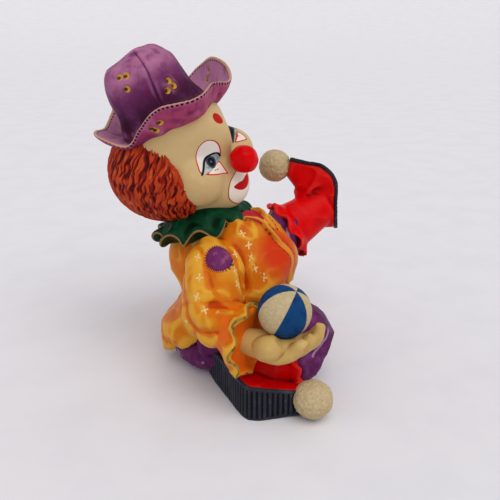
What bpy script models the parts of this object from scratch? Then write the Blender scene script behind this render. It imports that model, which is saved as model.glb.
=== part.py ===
# A seated clown figurine, cast in one and hand painted, with a ball lying in its right hand.
# The clown faces -Y, its left side is +X and it sits on Z = 0.
import math

import bmesh
import bpy
import numpy as np

# Sizes that stand on their own, in metres.
HEIGHT = 0.148
BALL_DIAMETER = 0.0222
BALL_GAP = 0.0003
VOXEL = 0.0009
FIGURE_TRIANGLES = 8600
BALL_SEGMENTS = 24
BALL_RINGS = 14

# Pose, proportions and carving are shares of the figure's height: one unit is a 148th of it.
UNIT = HEIGHT / 148
FLAT_AXES = np.eye(3)

# Head: where it is and how it turns, tips back and leans to the clown's right, in degrees.
HEAD_AT = (-1, 24.5, 98)
HEAD_TURN = -19.5
HEAD_TIP = -5.8
HEAD_LEAN = -21.3

# The head's swellings, then its eye hollows, the deeper hollow of the far brow, the rise of the bridge between
# them, and the nose.
HEAD_LUMPS = (
    ((0, 0, 0), (26, 24.3, 28.5)),
    ((8, 0, 12), (18.8, 18, 17.8)),
    ((17, 13.5, -3), (9.6, 9.6, 10.5)),
    ((17, -13.5, -3), (9.6, 9.6, 10.5)),
    ((14, 0, -12.5), (15.4, 12.6, 12.8)),
)
EYE_HOLLOW = (22.3, 11.6, 9.4)
EYE_HOLLOW_DEPTH = 3.1
FAR_BROW = (20, 16.5, 10.5)
FAR_BROW_DEPTH = 3.4
BRIDGE_RISE = 2.4
MOUTH_AT = (27, 0, -9)
NOSE_AT = (33.2, 0, 0.2)
NOSE_RADII = (6.8, 6.1, 6.6)

# Hair: its middle and radii from the head's, how far out its lower back is flat, how much further back it
# starts above the far temple, and how many locks run down it.
HAIR_AT = (-5.5, 0, -2)
HAIR_RADII = (32.6, 31.5, 25.2)
HAIR_FLAT_AT = 26
FAR_HAIR_BACK = 16
LOCKS = 14

# Hat: the middle of the brim, how far it tips back from the head, and the crown's rings.
HAT_AT = (1, 33, 115)
HAT_TIP = 10
BRIM_INSIDE = 18
BRIM_THICK = 2.2
BRIM_REACH = (34.1, 34.5, 34.2, 33.3, 34.1, 33.1, 33.6, 34.3, 32.8, 30, 30.7, 31, 28, 28.5, 35, 41)
BRIM_LIFT = (10.6, 5.9, 9.5, 12.8, 10, 5.8, 10.6, 16, 9.3, 7.3, 10.3, 9.5, 2.8, 8.2, 14, 11.5)
CROWN_RINGS = (
    (-3, 0, 19.5),
    (3, 0.3, 20.2),
    (10, -0.3, 17.6),
    (18, -1.1, 17.3),
    (25.6, -0.8, 16),
    (30.1, -1.5, 12.2),
    (30.7, 0.9, 9.7),
    (33.5, 1.5, 3.4),
)

# Jacket: back point, front point and half width of each ring from hem to neck, the power that squares the
# rings, how much rounder they are on the far front, and the line of both front edges.
JACKET_RINGS = (
    (33.5, 4.5, -24, 41, 25),
    (35, 10, -25, 44, 27),
    (36, 19, -27.5, 50, 27.5),
    (30, 27, -28, 55, 25.5),
    (27, 35, -26.2, 59.5, 24),
    (29, 43, -21.2, 64.6, 22.5),
    (31.5, 51, -15, 70.6, 20.5),
    (31, 58, -9.6, 73, 17),
    (27, 65, -4, 75, 12.5),
)
JACKET_POWER = 2.4
FAR_ROUNDING = 0.65
LAPEL = ((-8.5, -5, 75), (-8, -12.5, 74), (-8.6, -17.8, 69.6), (-8.2, -22.6, 64), (-6.4, -27, 56), (-7, -26.8, 50),
         (-7.4, -26, 43))
FAR_LAPEL = ((7, -3, 73.5), (4.6, -8.4, 74.8), (2, -12, 74), (-0.4, -15, 70.6), (-3, -17.6, 66))
LAPEL_RADIUS = 1.1

# Right arm, that holds the ball out, and left arm, that props the clown from behind. A cuff is its middle,
# the way it opens, its radius and its depth.
ARM_PATH = ((-17, 5.5, 60), (-27, 3, 55), (-33.5, 1.5, 43), (-38, -1, 38.4), (-42, -8, 37), (-45, -16, 35.5))
ARM_RADII = (9, 12, 12.6, 10.8, 9.6, 11.4)
RIGHT_CUFF = ((-45.5, -18.2, 33.3), (-0.25, -0.95, 0.02), 15.3, 11)
PROP_PATH = ((16, 9, 60), (26, 11, 54), (32, 13, 42), (34, 14, 29), (34, 15, 18))
PROP_RADII = (9, 11, 11, 10.5, 12.5)
LEFT_CUFF = ((34, 17, 13), (0, 0.02, -1), 12.5, 9)
CUFF_LOBES = 7
LEFT_WRIST = ((34, 17, 16), (34, 16, 6))
LEFT_PALM_AT = (34, 15, 5)
LEFT_PALM_RADII = (8, 10, 7)
LEFT_THUMB = ((29, 12, 6), (25.5, 7, 4.5), (24.5, 3, 3))
LEFT_FINGERS = (-5.5, -1.8, 1.9, 5.6)

# Palm of the right hand: the point where the ball lies, and the ball's direction from it.
PALM_AT = (-43, -31, 35.6)
PALM_UP = (0.05, -0.08, 1)

# Right hand: wrist, palm and thumb, then where each finger curls up (x, furthest y) and how high its tip is.
RIGHT_WRIST = ((-45, -14, 33), (-45.6, -22, 32.6), (-45, -28, 32))
RIGHT_WRIST_RADII = (5, 6.2, 6.4)
RIGHT_PALM_AT = (-43.5, -30, 33)
RIGHT_PALM_RADII = (11, 10, 5.6)
RIGHT_THUMB = ((-49.6, -24.4, 32.2), (-52.2, -28.4, 35), (-52, -32, 37.8))
FINGERS = ((-51, -40.6, 36.5), (-46.2, -43.2, 39.5), (-41.2, -45.4, 42.4), (-36.4, -45, 40))

# Collar: the middle of the ruff, how far it reaches, how much less in front, and how many lobes it has.
RUFF_AT = (-1, 15.5, 71)
RUFF_REACH = 23.5
RUFF_FRONT = 4
RUFF_LOBES = 11

# Legs: the seat, then the middle line and radii of each trouser leg, and the near knee.
SEAT_AT = (0, 8, 10)
SEAT_RADII = (26.5, 24, 13)
NEAR_LEG = ((-12, 8, 14), (-15, -6, 18), (-15, -20, 23), (-13, -31, 23))
NEAR_LEG_RADII = (14, 15, 15, 14)
KNEE_AT = (-13, -34, 23)
KNEE_RADII = (12.8, 13.6, 14.4)
NEAR_SHIN = ((-13, -34, 19), (-19, -34, 14), (-26, -31, 11))
NEAR_SHIN_RADII = (11, 10, 8)
FAR_LEG = ((12, 6, 14), (16, -2, 24), (23, -7, 39), (31, -11.5, 50), (39, -15, 59))
FAR_LEG_RADII = (14, 14, 12.5, 11.5, 9.5)

# Shoes: heel, ball and toe of each sole, the shares of both stretches between which it bends, the way across
# it, the toe's share of the width, the collar, and how high the upper stands from heel to toe.
NEAR_SOLE = ((-20, 10.5, 8), (-54.2, -19, 7.6), (-43.2, -44.5, 6.2))
NEAR_BEND = (0.9, 0.14, 0.55)
NEAR_ACROSS = (0, 0, 1)
NEAR_TAPER = 0.62
NEAR_COLLAR = (-23, -34, 14)
NEAR_COLLAR_RADIUS = 12
FAR_SOLE = ((53, -39.5, 53), (52.4, -37.8, 85), (51, -14, 89.5))
FAR_BEND = (0.8, 0.28, 0.62)
FAR_ACROSS = (0.952, 0.151, -0.264)
FAR_TAPER = 0.7
FAR_COLLAR = (39, -14.5, 54)
FAR_COLLAR_RADIUS = 16
NEAR_HEIGHTS = (12, 15, 16, 17, 15, 8)
FAR_HEIGHTS = (12, 18, 21.5, 17.5, 15, 8)
SOLE_THICK = 2
SHOE_WIDTH = 16
POMPOM_RADIUS = 8.2
NEAR_POMPOM_AT = (-44, -45, 9)
FAR_POMPOM_AT = (50, -6, 85)


def unit(v):
    v = np.asarray(v, float)
    return v / np.linalg.norm(v, axis=-1, keepdims=True)


def turned(turn, tip, lean):
    """Forward, left and up of a head that first leans, then tips, then turns."""
    a, b, c = (math.radians(x) for x in (turn, tip, lean))
    about_y = np.array([[math.cos(c), 0, math.sin(c)], [0, 1, 0], [-math.sin(c), 0, math.cos(c)]])
    about_x = np.array([[1, 0, 0], [0, math.cos(b), -math.sin(b)], [0, math.sin(b), math.cos(b)]])
    about_z = np.array([[math.cos(a), -math.sin(a), 0], [math.sin(a), math.cos(a), 0], [0, 0, 1]])
    whole = about_z @ about_x @ about_y
    return whole @ (0, -1, 0), whole @ (1, 0, 0), whole @ (0, 0, 1)


HEAD = np.array(turned(HEAD_TURN, HEAD_TIP, HEAD_LEAN))
_tip = math.radians(HAT_TIP)
HAT = np.array([
    math.cos(_tip) * HEAD[0] + math.sin(_tip) * HEAD[2],
    HEAD[1],
    math.cos(_tip) * HEAD[2] - math.sin(_tip) * HEAD[0],
])


def in_head(point):
    return np.asarray(HEAD_AT, float) + np.asarray(point, float) @ HEAD


def spline(points, count, closed=False):
    """Count points on a smooth curve through the given ones."""
    p = np.asarray(points, float)
    if p.ndim == 1:
        p = p[:, None]
    n = len(p)
    t = np.linspace(0, n if closed else n - 1, count, endpoint=not closed)
    i = np.minimum(t.astype(int), n - 1 if closed else n - 2)
    f = (t - i)[:, None]

    def at(k):
        return p[k % n] if closed else p[np.clip(k, 0, n - 1)]

    a, b, c, d = at(i - 1), at(i), at(i + 1), at(i + 2)
    out = b + 0.5 * f * (c - a + f * (2 * a - 5 * b + 4 * c - d + f * (3 * (b - c) + d - a)))
    return out[:, 0] if out.shape[1] == 1 else out


def skin(rings, closed=False):
    """Points and faces over rings of equal length; the ends are closed by fans unless the rings go round."""
    rings = np.asarray(rings, float)
    rows, cols, _ = rings.shape
    points = list(rings.reshape(-1, 3))
    faces = []
    for r in range(rows if closed else rows - 1):
        low, high = r * cols, (r + 1) % rows * cols
        for c in range(cols):
            d = (c + 1) % cols
            faces.append((low + c, low + d, high + d, high + c))
    if not closed:
        for row, flip in ((0, True), (rows - 1, False)):
            middle = len(points)
            points.append(rings[row].mean(axis=0))
            for c in range(cols):
                pair = (row * cols + c, row * cols + (c + 1) % cols)
                faces.append((*(pair[::-1] if flip else pair), middle))
    return np.array(points), faces


def sweep(path, radii, steps, sides, flat=1.0, hint=(0, 0, 1), bump=None):
    """A tube along a smooth path; flat squeezes it along the hint, bump(t, angle) adds to its radius."""
    line = spline(path, steps)
    r = spline(radii, steps)
    ahead = unit(np.gradient(line, axis=0))
    side = unit(np.cross(hint, ahead))
    over = np.cross(ahead, side)
    angle = np.linspace(0, 2 * math.pi, sides, endpoint=False)
    t = np.linspace(0, 1, steps)
    rings = []
    for i in range(steps):
        grown = r[i] + (bump(t[i], angle) if bump else 0)
        rings.append(
            line[i]
            + np.outer(np.cos(angle) * grown, side[i])
            + np.outer(np.sin(angle) * grown * flat, over[i])
        )
    return skin(rings)


def directions(rows, cols):
    lat = np.linspace(-math.pi / 2, math.pi / 2, rows + 2)[1:-1, None]
    lon = np.linspace(0, 2 * math.pi, cols, endpoint=False)[None, :]
    return np.stack([np.cos(lat) * np.cos(lon), np.cos(lat) * np.sin(lon), np.sin(lat) + 0 * lon], -1)


def lump_reach(d, middle, radii):
    """How far a ray from the origin along each d leaves an ellipsoid that holds the origin or lies ahead."""
    m, k = np.asarray(middle, float) / radii, d / radii
    a, b, c = (k * k).sum(-1), (k * m).sum(-1), (m * m).sum() - 1
    inside = b * b - a * c
    return np.where(inside > 0, (b + np.sqrt(np.maximum(inside, 0))) / a, 0)


def lumps(at, axes, parts, rows, cols, blend=1.2, shape=None):
    """One smooth swelling form: the outermost of several ellipsoids, blended where they meet."""
    d = directions(rows, cols)
    reach = np.stack([lump_reach(d, *part) for part in parts])
    top = reach.max(axis=0)
    r = top + blend * np.log(np.exp((reach - top) / blend).sum(axis=0))
    if shape:
        r = shape(d, r)
    rings = np.asarray(at, float) + (d * r[..., None]) @ np.asarray(axes, float)
    return skin(rings)


def face_and_skull():
    def hollows(d, r):
        for side in (-1, 1):
            socket = unit(np.array(EYE_HOLLOW) * (1, side, 1))
            r = r - EYE_HOLLOW_DEPTH * np.exp(-(1 - d @ socket) / 0.025)
        bridge = np.exp(-((d[..., 1] / 0.16) ** 2) - ((d[..., 2] - 0.42) / 0.26) ** 2) * (d[..., 0] > 0)
        brow = np.exp(-(1 - d @ unit(FAR_BROW)) / 0.028)
        return r - np.exp(-(1 - d @ unit(MOUTH_AT)) / 0.006) + BRIDGE_RISE * bridge - FAR_BROW_DEPTH * brow

    head = lumps(HEAD_AT, HEAD, HEAD_LUMPS, 40, 56, blend=1.8, shape=hollows)
    nose = lumps(in_head(NOSE_AT), HEAD, (((0, 0, 0), NOSE_RADII),), 16, 24)
    return [head, nose]


def hair():
    """The wig behind the face, cut off along the cheeks, with wavy locks that run down and round."""
    low_back = unit((-0.75, 0, -0.66))

    def locks(d, r):
        side = np.arctan2(d[..., 1], -d[..., 0])
        down = np.arcsin(np.clip(d[..., 2], -1, 1))
        wave = side * LOCKS + 1.7 * np.sin(down * 4 + side * 2) + 0.8 * np.sin(down * 9)
        ridge = np.abs(np.sin(wave)) ** 0.6
        flat = np.maximum(r * (d @ low_back) - HAIR_FLAT_AT, 0)
        return r - 0.6 * flat + 2.6 * (ridge - 0.65)

    points, faces = lumps(in_head(HAIR_AT), HEAD, (((0, 0, 0), HAIR_RADII),), 72, 240, shape=locks)
    local = (points - in_head((0, 0, 0))) @ HEAD.T
    limit = 12.5 - 0.3 * local[:, 2] - 0.012 * np.maximum(24 - np.abs(local[:, 1]), 0) ** 2
    limit = limit - FAR_HAIR_BACK * np.clip(local[:, 1] / 4, 0, 1) * np.clip((local[:, 2] - 1) / 8, 0, 1)
    over = local[:, 0] - limit
    local[:, 0] = np.where(over > 0, limit + 2.2 * (1 - np.exp(-over / 4)), local[:, 0])
    return [(in_head((0, 0, 0)) + local @ HEAD, faces)]


def crown_bump(level, angle):
    """Soft creases of the felt and a seam groove down each quarter."""
    seams = sum(np.exp(-((np.angle(np.exp(1j * (angle - a)))) / 0.09) ** 2) for a in (-1.75, 0.2, 1.6, 3))
    folds = 0.7 * np.sin(3 * angle + 0.6 + 2.2 * level) + 0.5 * np.sin(5 * angle - 1 - 3 * level)
    return folds - 0.7 * seams


def hat():
    at = np.asarray(HAT_AT, float)
    angle = np.linspace(0, 2 * math.pi, 72, endpoint=False)
    rise, back, radius = (spline([row[k] for row in CROWN_RINGS], 26) for k in range(3))
    rings = []
    for i in range(26):
        r = radius[i] + crown_bump(i / 25, angle) * min(1, radius[i] / 12)
        flat = np.stack([back[i] + r * np.cos(angle), r * np.sin(angle), rise[i] + 0 * r], -1)
        rings.append(at + flat @ HAT)
    crown = skin(rings)

    steps = 120
    turn = np.linspace(0, 2 * math.pi, steps, endpoint=False)
    reach = spline(BRIM_REACH, steps, closed=True)
    lift = spline(BRIM_LIFT, steps, closed=True)
    rings = []
    for a, far, high in zip(turn, reach, lift):
        out = np.array([math.cos(a), math.sin(a), 0])
        s = np.linspace(0, 1, 9)
        top = np.stack([
            BRIM_INSIDE + (far - BRIM_INSIDE) * s,
            1.2 - 1.6 * np.sin(s * math.pi) + (high - 1.2) * s**2.2,
        ], -1)
        slope = unit(np.gradient(top, axis=0))
        below = np.stack([slope[:, 1], -slope[:, 0]], -1)
        under = top + below * (BRIM_THICK + 3 * np.maximum(0, 1 - 2.5 * s))[:, None]
        edge = (top[-1:] + under[-1:]) / 2 + slope[-1:] * BRIM_THICK * 0.4
        section = np.concatenate([top, edge, under[::-1]])
        rings.append(at + (section[:, :1] * out + section[:, 1:] * (0, 0, 1)) @ HAT)
    brim = skin(rings, closed=True)
    return [crown, brim]


def ruff():
    """The flounced collar: lobes that swing out and in, up and down, round a ring that tips up in front."""
    at = np.array(RUFF_AT, float)
    tip = math.radians(15)
    ahead = np.array((0, -math.cos(tip), math.sin(tip)))
    up = np.array((0, math.sin(tip), math.cos(tip)))
    rings = []
    for a in np.linspace(0, 2 * math.pi, 132, endpoint=False):
        out = math.cos(a) * ahead + math.sin(a) * np.array((1, 0, 0))
        phase = RUFF_LOBES * a + 0.7 * math.sin(2 * a)
        far = RUFF_REACH - RUFF_FRONT * max(0, math.cos(a)) ** 2 + 2.2 * math.sin(phase)
        low = -3 - 2.6 * math.cos(phase)
        section = (
            (12, 6), (16, 4.5), (20, 1.5 + 0.4 * low), (far, low + 0.8),
            (far + 0.5, low - 0.6), (far - 1.2, low - 1.2), (19, low * 0.5 - 3.6), (12, -8),
        )
        rings.append([at + r * out + h * up for r, h in section])
    return [skin(rings, closed=True)]


def jacket():
    """The body of the jacket, with drapery folds that run down from the shoulders and across the waist."""
    count = 44
    ring = spline(JACKET_RINGS, count)
    angle = np.linspace(0, 2 * math.pi, 80, endpoint=False)
    far_front = np.where(np.sin(angle) > 0, np.clip(np.sin(2 * angle), 0, 1), 0)
    power = JACKET_POWER - FAR_ROUNDING * far_front
    rings = []
    for i in range(count):
        yb, zb, yf, zf, wide = ring[i]
        t = i / (count - 1)
        middle = np.array((0, (yb + yf) / 2, (zb + zf) / 2))
        ahead = np.array((0, (yf - yb) / 2, (zf - zb) / 2))
        folds = 0.07 * (np.abs(np.sin(4 * angle + 4 * t)) ** 0.7 - 0.6) * (1 - t) + 0.02 * np.sin(4 * angle - 9 * t + 1)
        hem = 0.04 * np.sin(9 * angle + 1) * max(0, 1 - 6 * t)
        grown = 1 + folds + hem
        square = (np.abs(np.cos(angle)) ** power + np.abs(np.sin(angle)) ** power) ** (-1 / power)
        rings.append(
            middle
            + np.outer(np.cos(angle) * grown * square, ahead)
            + np.outer(np.sin(angle) * grown * square, (wide, 0, 0))
        )
    lapels = [sweep(path, (LAPEL_RADIUS,) * len(path), 24, 10, hint=(1, 0, 0)) for path in (LAPEL, FAR_LAPEL)]
    return [skin(rings)] + lapels


def sleeve_folds(t, angle):
    bend = math.exp(-(((t - 0.6) / 0.2) ** 2))
    long_folds = np.abs(np.sin(2.5 * angle + 5 * t)) ** 0.7 - 0.6
    cross_folds = bend * (abs(math.sin(15 * t)) ** 0.7 - 0.6) * (0.5 + 0.5 * np.cos(angle - 0.6))
    return 2.2 * long_folds + 2.6 * cross_folds


def cuff(at, ahead, hint, radius, depth, lobes):
    """A flared, ruffled end of a sleeve or trouser leg: an open bell with a wavy rim."""
    ahead = unit(ahead)
    side = unit(np.cross(hint, ahead))
    over = np.cross(ahead, side)
    rings = []
    for a in np.linspace(0, 2 * math.pi, 12 * lobes, endpoint=False):
        out = math.cos(a) * side + math.sin(a) * over
        wave = math.sin(lobes * a)
        far = radius + 1.3 * wave
        reach = 1.4 * math.cos(lobes * a + 0.8)
        section = (
            (radius * 0.25, -depth), (radius * 0.52, -depth), (radius * 0.86, -depth * 0.4),
            (far + 0.3, reach), (far - 1.2, reach + 0.5), (radius * 0.74, -depth * 0.24),
            (radius * 0.25, -depth * 0.14),
        )
        rings.append([np.asarray(at, float) + r * out + h * ahead for r, h in section])
    return skin(rings, closed=True)


def right_arm():
    sleeve = sweep(ARM_PATH, ARM_RADII, 36, 40, hint=(1, 0, 0), bump=sleeve_folds)
    bell = cuff(RIGHT_CUFF[0], RIGHT_CUFF[1], (1, 0, 0), RIGHT_CUFF[2], RIGHT_CUFF[3], CUFF_LOBES)
    return [sleeve, bell]


def left_arm():
    sleeve = sweep(PROP_PATH, PROP_RADII, 30, 36, hint=(0, 1, 0), bump=sleeve_folds)
    bell = cuff(LEFT_CUFF[0], LEFT_CUFF[1], (1, 0, 0), LEFT_CUFF[2], LEFT_CUFF[3], CUFF_LOBES)
    palm = lumps(LEFT_PALM_AT, FLAT_AXES, (((0, 0, 0), LEFT_PALM_RADII),), 12, 20)
    wrist = sweep(LEFT_WRIST, (5.5, 6.5), 6, 14, hint=(1, 0, 0))
    x, y, z = LEFT_PALM_AT
    fingers = [
        sweep(((x + off * 0.8, y - 6, z + 1), (x + off, y - 13, z - 0.5), (x + off * 1.1, y - 18, z - 2.4)),
              (3.2, 3, 2.2), 10, 10, hint=(1, 0, 0))
        for off in LEFT_FINGERS
    ]
    thumb = sweep(LEFT_THUMB, (3.2, 3, 2.2), 10, 10, hint=(1, 0, 0))
    return [sleeve, bell, palm, wrist, thumb] + fingers


def right_hand():
    """The open palm: a cup of four fingers that curl up in front and a broad thumb on the near side."""
    wrist = sweep(RIGHT_WRIST, RIGHT_WRIST_RADII, 10, 18, hint=(1, 0, 0))
    palm = lumps(RIGHT_PALM_AT, FLAT_AXES, (((0, 0, 0), RIGHT_PALM_RADII),), 16, 26)
    thumb = sweep(RIGHT_THUMB, (5, 5.4, 3.6), 12, 14, hint=(1, 0, 0))
    root, low = RIGHT_PALM_AT[1] + 3, RIGHT_PALM_AT[2] - 2
    fingers = []
    for x, far, tip in FINGERS:
        path = (
            (x, root, low), (x, far + 9, low - 0.4), (x, far + 3.4, low + 2), (x, far, low + 6),
            (x + 0.4, far - 1, tip),
        )
        fingers.append(sweep(path, (3.4, 3.3, 3, 2.7, 1.9), 18, 12, hint=(1, 0, 0)))
    return [wrist, palm, thumb] + fingers


def trousers():
    seat = lumps(SEAT_AT, FLAT_AXES, (((0, 0, 0), SEAT_RADII),), 24, 48)

    def knee_folds(t, angle):
        return 1.8 * (np.abs(np.sin(2.5 * angle + 4 * t)) ** 0.7 - 0.6)

    near = sweep(NEAR_LEG, NEAR_LEG_RADII, 28, 40, hint=(1, 0, 0), bump=knee_folds)
    knee = lumps(KNEE_AT, FLAT_AXES, (((0, 0, 0), KNEE_RADII),), 20, 36)
    shin = sweep(NEAR_SHIN, NEAR_SHIN_RADII, 12, 24, bump=knee_folds)
    far = sweep(FAR_LEG, FAR_LEG_RADII, 28, 36, hint=(1, 0, 0), bump=knee_folds)
    return [seat, near, knee, shin, far]


def shoe(sole_points, bend, across, taper, collar, heights, collar_radius):
    """A long bent shoe: a flat sole through heel, ball and toe, an upper over it and a shaft to a ruffled collar."""
    across = unit(across)
    heel, ball, toe, collar = (np.asarray(p, float) for p in (*sole_points, collar))
    path = [heel, heel + (ball - heel) * bend[0] / 2, heel + (ball - heel) * bend[0]]
    path += [ball + (toe - ball) * bend[1], ball + (toe - ball) * bend[2], toe]
    line = spline(path, 40)
    ahead = unit(np.gradient(line, axis=0))
    inward = unit(np.cross(ahead, across))
    if ((collar - heel) @ inward[0]) < 0:
        inward = -inward
    s = np.linspace(0, 1, 40)
    round_heel = np.sqrt(np.clip(1 - (1 - np.minimum(s / 0.16, 1)) ** 2, 0.08, 1))
    round_toe = np.sqrt(np.clip(1 - (1 - np.minimum((1 - s) / 0.06, 1)) ** 2, 0.25, 1))
    half = SHOE_WIDTH / 2 * (1 - (1 - taper) * np.clip((s - 0.62) / 0.38, 0, 1)) * round_heel * round_toe
    around = np.linspace(0, 2 * math.pi, 28, endpoint=False)
    sole = []
    for i in range(40):
        c, d = np.cos(around), np.sin(around)
        wide = np.sign(c) * np.abs(c) ** 0.4 * half[i]
        deep = SOLE_THICK / 2 + np.sign(d) * np.abs(d) ** 0.4 * SOLE_THICK / 2
        sole.append(line[i] + np.outer(wide, across) + np.outer(deep, inward[i]))
    height = spline(heights, 40)
    upper = []
    for i in range(1, 40):
        c, d = np.cos(around), np.sin(around)
        wide = np.sign(c) * np.abs(c) ** 0.8 * (half[i] - 0.9)
        deep = SOLE_THICK / 2 + np.maximum(d, 0) * height[i]
        upper.append(line[i] + np.outer(wide, across) + np.outer(deep, inward[i]))
    low = heel + (ball - heel) * 0.3 + inward[4] * 6
    high = heel + (ball - heel) * 0.55 + inward[8] * 7
    middle = (low + high) / 2
    shaft = sweep((middle, middle * 0.5 + collar * 0.5, collar), (9, 11, collar_radius * 0.8), 14, 28, hint=across)
    bell = cuff(collar, collar - middle, across, collar_radius, 9, 8)
    return [skin(sole), skin(upper), shaft, bell]


def pompom(at):
    return lumps(at, FLAT_AXES, (((0, 0, 0), (POMPOM_RADIUS,) * 3),), 14, 24)


def shoes():
    near = shoe(NEAR_SOLE, NEAR_BEND, NEAR_ACROSS, NEAR_TAPER, NEAR_COLLAR, NEAR_HEIGHTS, NEAR_COLLAR_RADIUS)
    far = shoe(FAR_SOLE, FAR_BEND, FAR_ACROSS, FAR_TAPER, FAR_COLLAR, FAR_HEIGHTS, FAR_COLLAR_RADIUS)
    return near + far + [pompom(NEAR_POMPOM_AT), pompom(FAR_POMPOM_AT)]


def shade(name, colour, rough, metal):
    material = bpy.data.materials.new(name)
    material.use_nodes = True
    surface = material.node_tree.nodes["Principled BSDF"]
    surface.inputs["Base Color"].default_value = (*colour, 1)
    surface.inputs["Roughness"].default_value = rough
    surface.inputs["Metallic"].default_value = metal
    return material


def body_from(name, skins, material):
    """One object from several overlapping closed skins, still as separate shells."""
    form = bmesh.new()
    for points, faces in skins:
        placed = [form.verts.new(p * UNIT) for p in points]
        for face in faces:
            form.faces.new([placed[k] for k in face])
    bmesh.ops.recalc_face_normals(form, faces=form.faces)
    mesh = bpy.data.meshes.new(name)
    form.to_mesh(mesh)
    form.free()
    mesh.materials.append(material)
    mesh.shade_smooth()
    made = bpy.data.objects.new(name, mesh)
    bpy.context.scene.collection.objects.link(made)
    return made


def helper(made):
    made.hide_render = True
    made.display_type = "WIRE"
    return made


def sphere(name, radius, at, segments, rings):
    form = bmesh.new()
    bmesh.ops.create_uvsphere(form, u_segments=segments, v_segments=rings, radius=radius)
    mesh = bpy.data.meshes.new(name)
    form.to_mesh(mesh)
    form.free()
    mesh.shade_smooth()
    made = bpy.data.objects.new(name, mesh)
    made.location = at
    bpy.context.scene.collection.objects.link(made)
    return made


def floor_block():
    """All below the floor, which leaves the underside truly flat."""
    form = bmesh.new()
    bmesh.ops.create_cube(form, size=2 * HEIGHT)
    mesh = bpy.data.meshes.new("floor_cut")
    form.to_mesh(mesh)
    form.free()
    made = bpy.data.objects.new("floor_cut", mesh)
    made.location = (0, 0, -HEIGHT)
    bpy.context.scene.collection.objects.link(made)
    return helper(made)


def cut(made, cutter):
    step = made.modifiers.new(cutter.name, "BOOLEAN")
    step.operation = "DIFFERENCE"
    step.solver = "EXACT"
    step.object = cutter


def triangles_in(made):
    graph = bpy.context.evaluated_depsgraph_get()
    shape = made.evaluated_get(graph).to_mesh()
    shape.calc_loop_triangles()
    count = len(shape.loop_triangles)
    made.evaluated_get(graph).to_mesh_clear()
    return count


def main():
    for old in list(bpy.data.objects):
        bpy.data.objects.remove(old, do_unlink=True)

    paint = shade("painted_resin", (0.75, 0.33, 0.03), 0.4, 0)
    ball_paint = shade("ball_paint", (0.62, 0.55, 0.38), 0.6, 0)

    skins = (
        face_and_skull() + hair() + hat() + ruff() + jacket() + right_arm() + left_arm()
        + right_hand() + trousers() + shoes()
    )
    clown = body_from("clown_figurine", skins, paint)
    fuse = clown.modifiers.new("fuse", "REMESH")
    fuse.mode = "VOXEL"
    fuse.voxel_size = VOXEL
    fuse.use_smooth_shade = True
    thin = clown.modifiers.new("thin", "DECIMATE")
    thin.ratio = FIGURE_TRIANGLES / triangles_in(clown)

    palm_up = unit(PALM_UP)
    ball_at = np.asarray(PALM_AT, float) * UNIT + palm_up * (BALL_DIAMETER / 2 + BALL_GAP)
    socket = helper(sphere("ball_socket", BALL_DIAMETER / 2 + BALL_GAP, ball_at, 2 * BALL_SEGMENTS, 2 * BALL_RINGS))
    cut(clown, socket)
    cut(clown, floor_block())

    ball = sphere("ball", BALL_DIAMETER / 2, ball_at, BALL_SEGMENTS, BALL_RINGS)
    ball.data.materials.append(ball_paint)


main()
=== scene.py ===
# The looks of the seated clown figurine: every painted piece, its floor, light and camera.
# The clown faces -Y, its left side is +X and it sits on Z = 0. Points are in millimetres unless said.
import math
from collections import namedtuple

import bmesh
import bpy
import numpy as np
from mathutils import Matrix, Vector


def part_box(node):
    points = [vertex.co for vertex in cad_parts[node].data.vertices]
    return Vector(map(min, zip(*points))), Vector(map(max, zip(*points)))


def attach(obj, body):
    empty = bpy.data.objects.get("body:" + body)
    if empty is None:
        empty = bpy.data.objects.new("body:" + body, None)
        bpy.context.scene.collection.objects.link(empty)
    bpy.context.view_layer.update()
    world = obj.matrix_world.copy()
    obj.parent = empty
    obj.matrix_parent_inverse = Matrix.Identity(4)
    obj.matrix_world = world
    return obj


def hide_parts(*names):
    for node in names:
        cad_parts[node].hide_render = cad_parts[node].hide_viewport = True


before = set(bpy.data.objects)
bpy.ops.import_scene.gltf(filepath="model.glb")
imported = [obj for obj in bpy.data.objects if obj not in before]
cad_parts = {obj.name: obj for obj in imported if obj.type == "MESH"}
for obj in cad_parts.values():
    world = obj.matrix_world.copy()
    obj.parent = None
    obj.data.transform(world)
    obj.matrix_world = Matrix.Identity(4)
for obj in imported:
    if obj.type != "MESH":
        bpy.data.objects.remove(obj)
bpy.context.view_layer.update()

MM = 0.001
FIGURE = "clown_figurine"

# Staging: where the camera looks, from how far, its turn and height in degrees; the floor and the sky.
LOOKS_AT = (0, -6, 56)
CAMERA_AWAY = 315
CAMERA_TURN = 285
CAMERA_HEIGHT = 20
LENS = 48.67
FLOOR_SIDES = 96
SKY_STRENGTH = 0.56

# Head: where it is and how it turns, tips back and leans to the clown's right, in degrees.
HEAD_AT = (-1, 24.5, 98)
HEAD_TURN = -19.5
HEAD_TIP = -5.8
HEAD_LEAN = -21.3
HEAD_LUMPS = (
    ((0, 0, 0), (26, 24.3, 28.5)),
    ((8, 0, 12), (18.8, 18, 17.8)),
    ((17, 13.5, -3), (9.6, 9.6, 10.5)),
    ((17, -13.5, -3), (9.6, 9.6, 10.5)),
    ((14, 0, -12.5), (15.4, 12.6, 12.8)),
)
BRIDGE_RISE = 2.4

# Dents in the head, at both eyes, their inner corners, the mouth and the far brow: the way, depth and spread.
HEAD_DENTS = (
    ((22.3, -11.6, 9.4), 3.1, 0.025),
    ((22.3, 11.6, 9.4), 3.1, 0.025),
    ((25, -4.6, 3), 0.9, 0.006),
    ((25, 4.6, 3), 0.9, 0.006),
    ((27, 0, -9), 0.8, 0.006),
    ((20, 16.5, 10.5), 3.4, 0.028),
)

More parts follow.
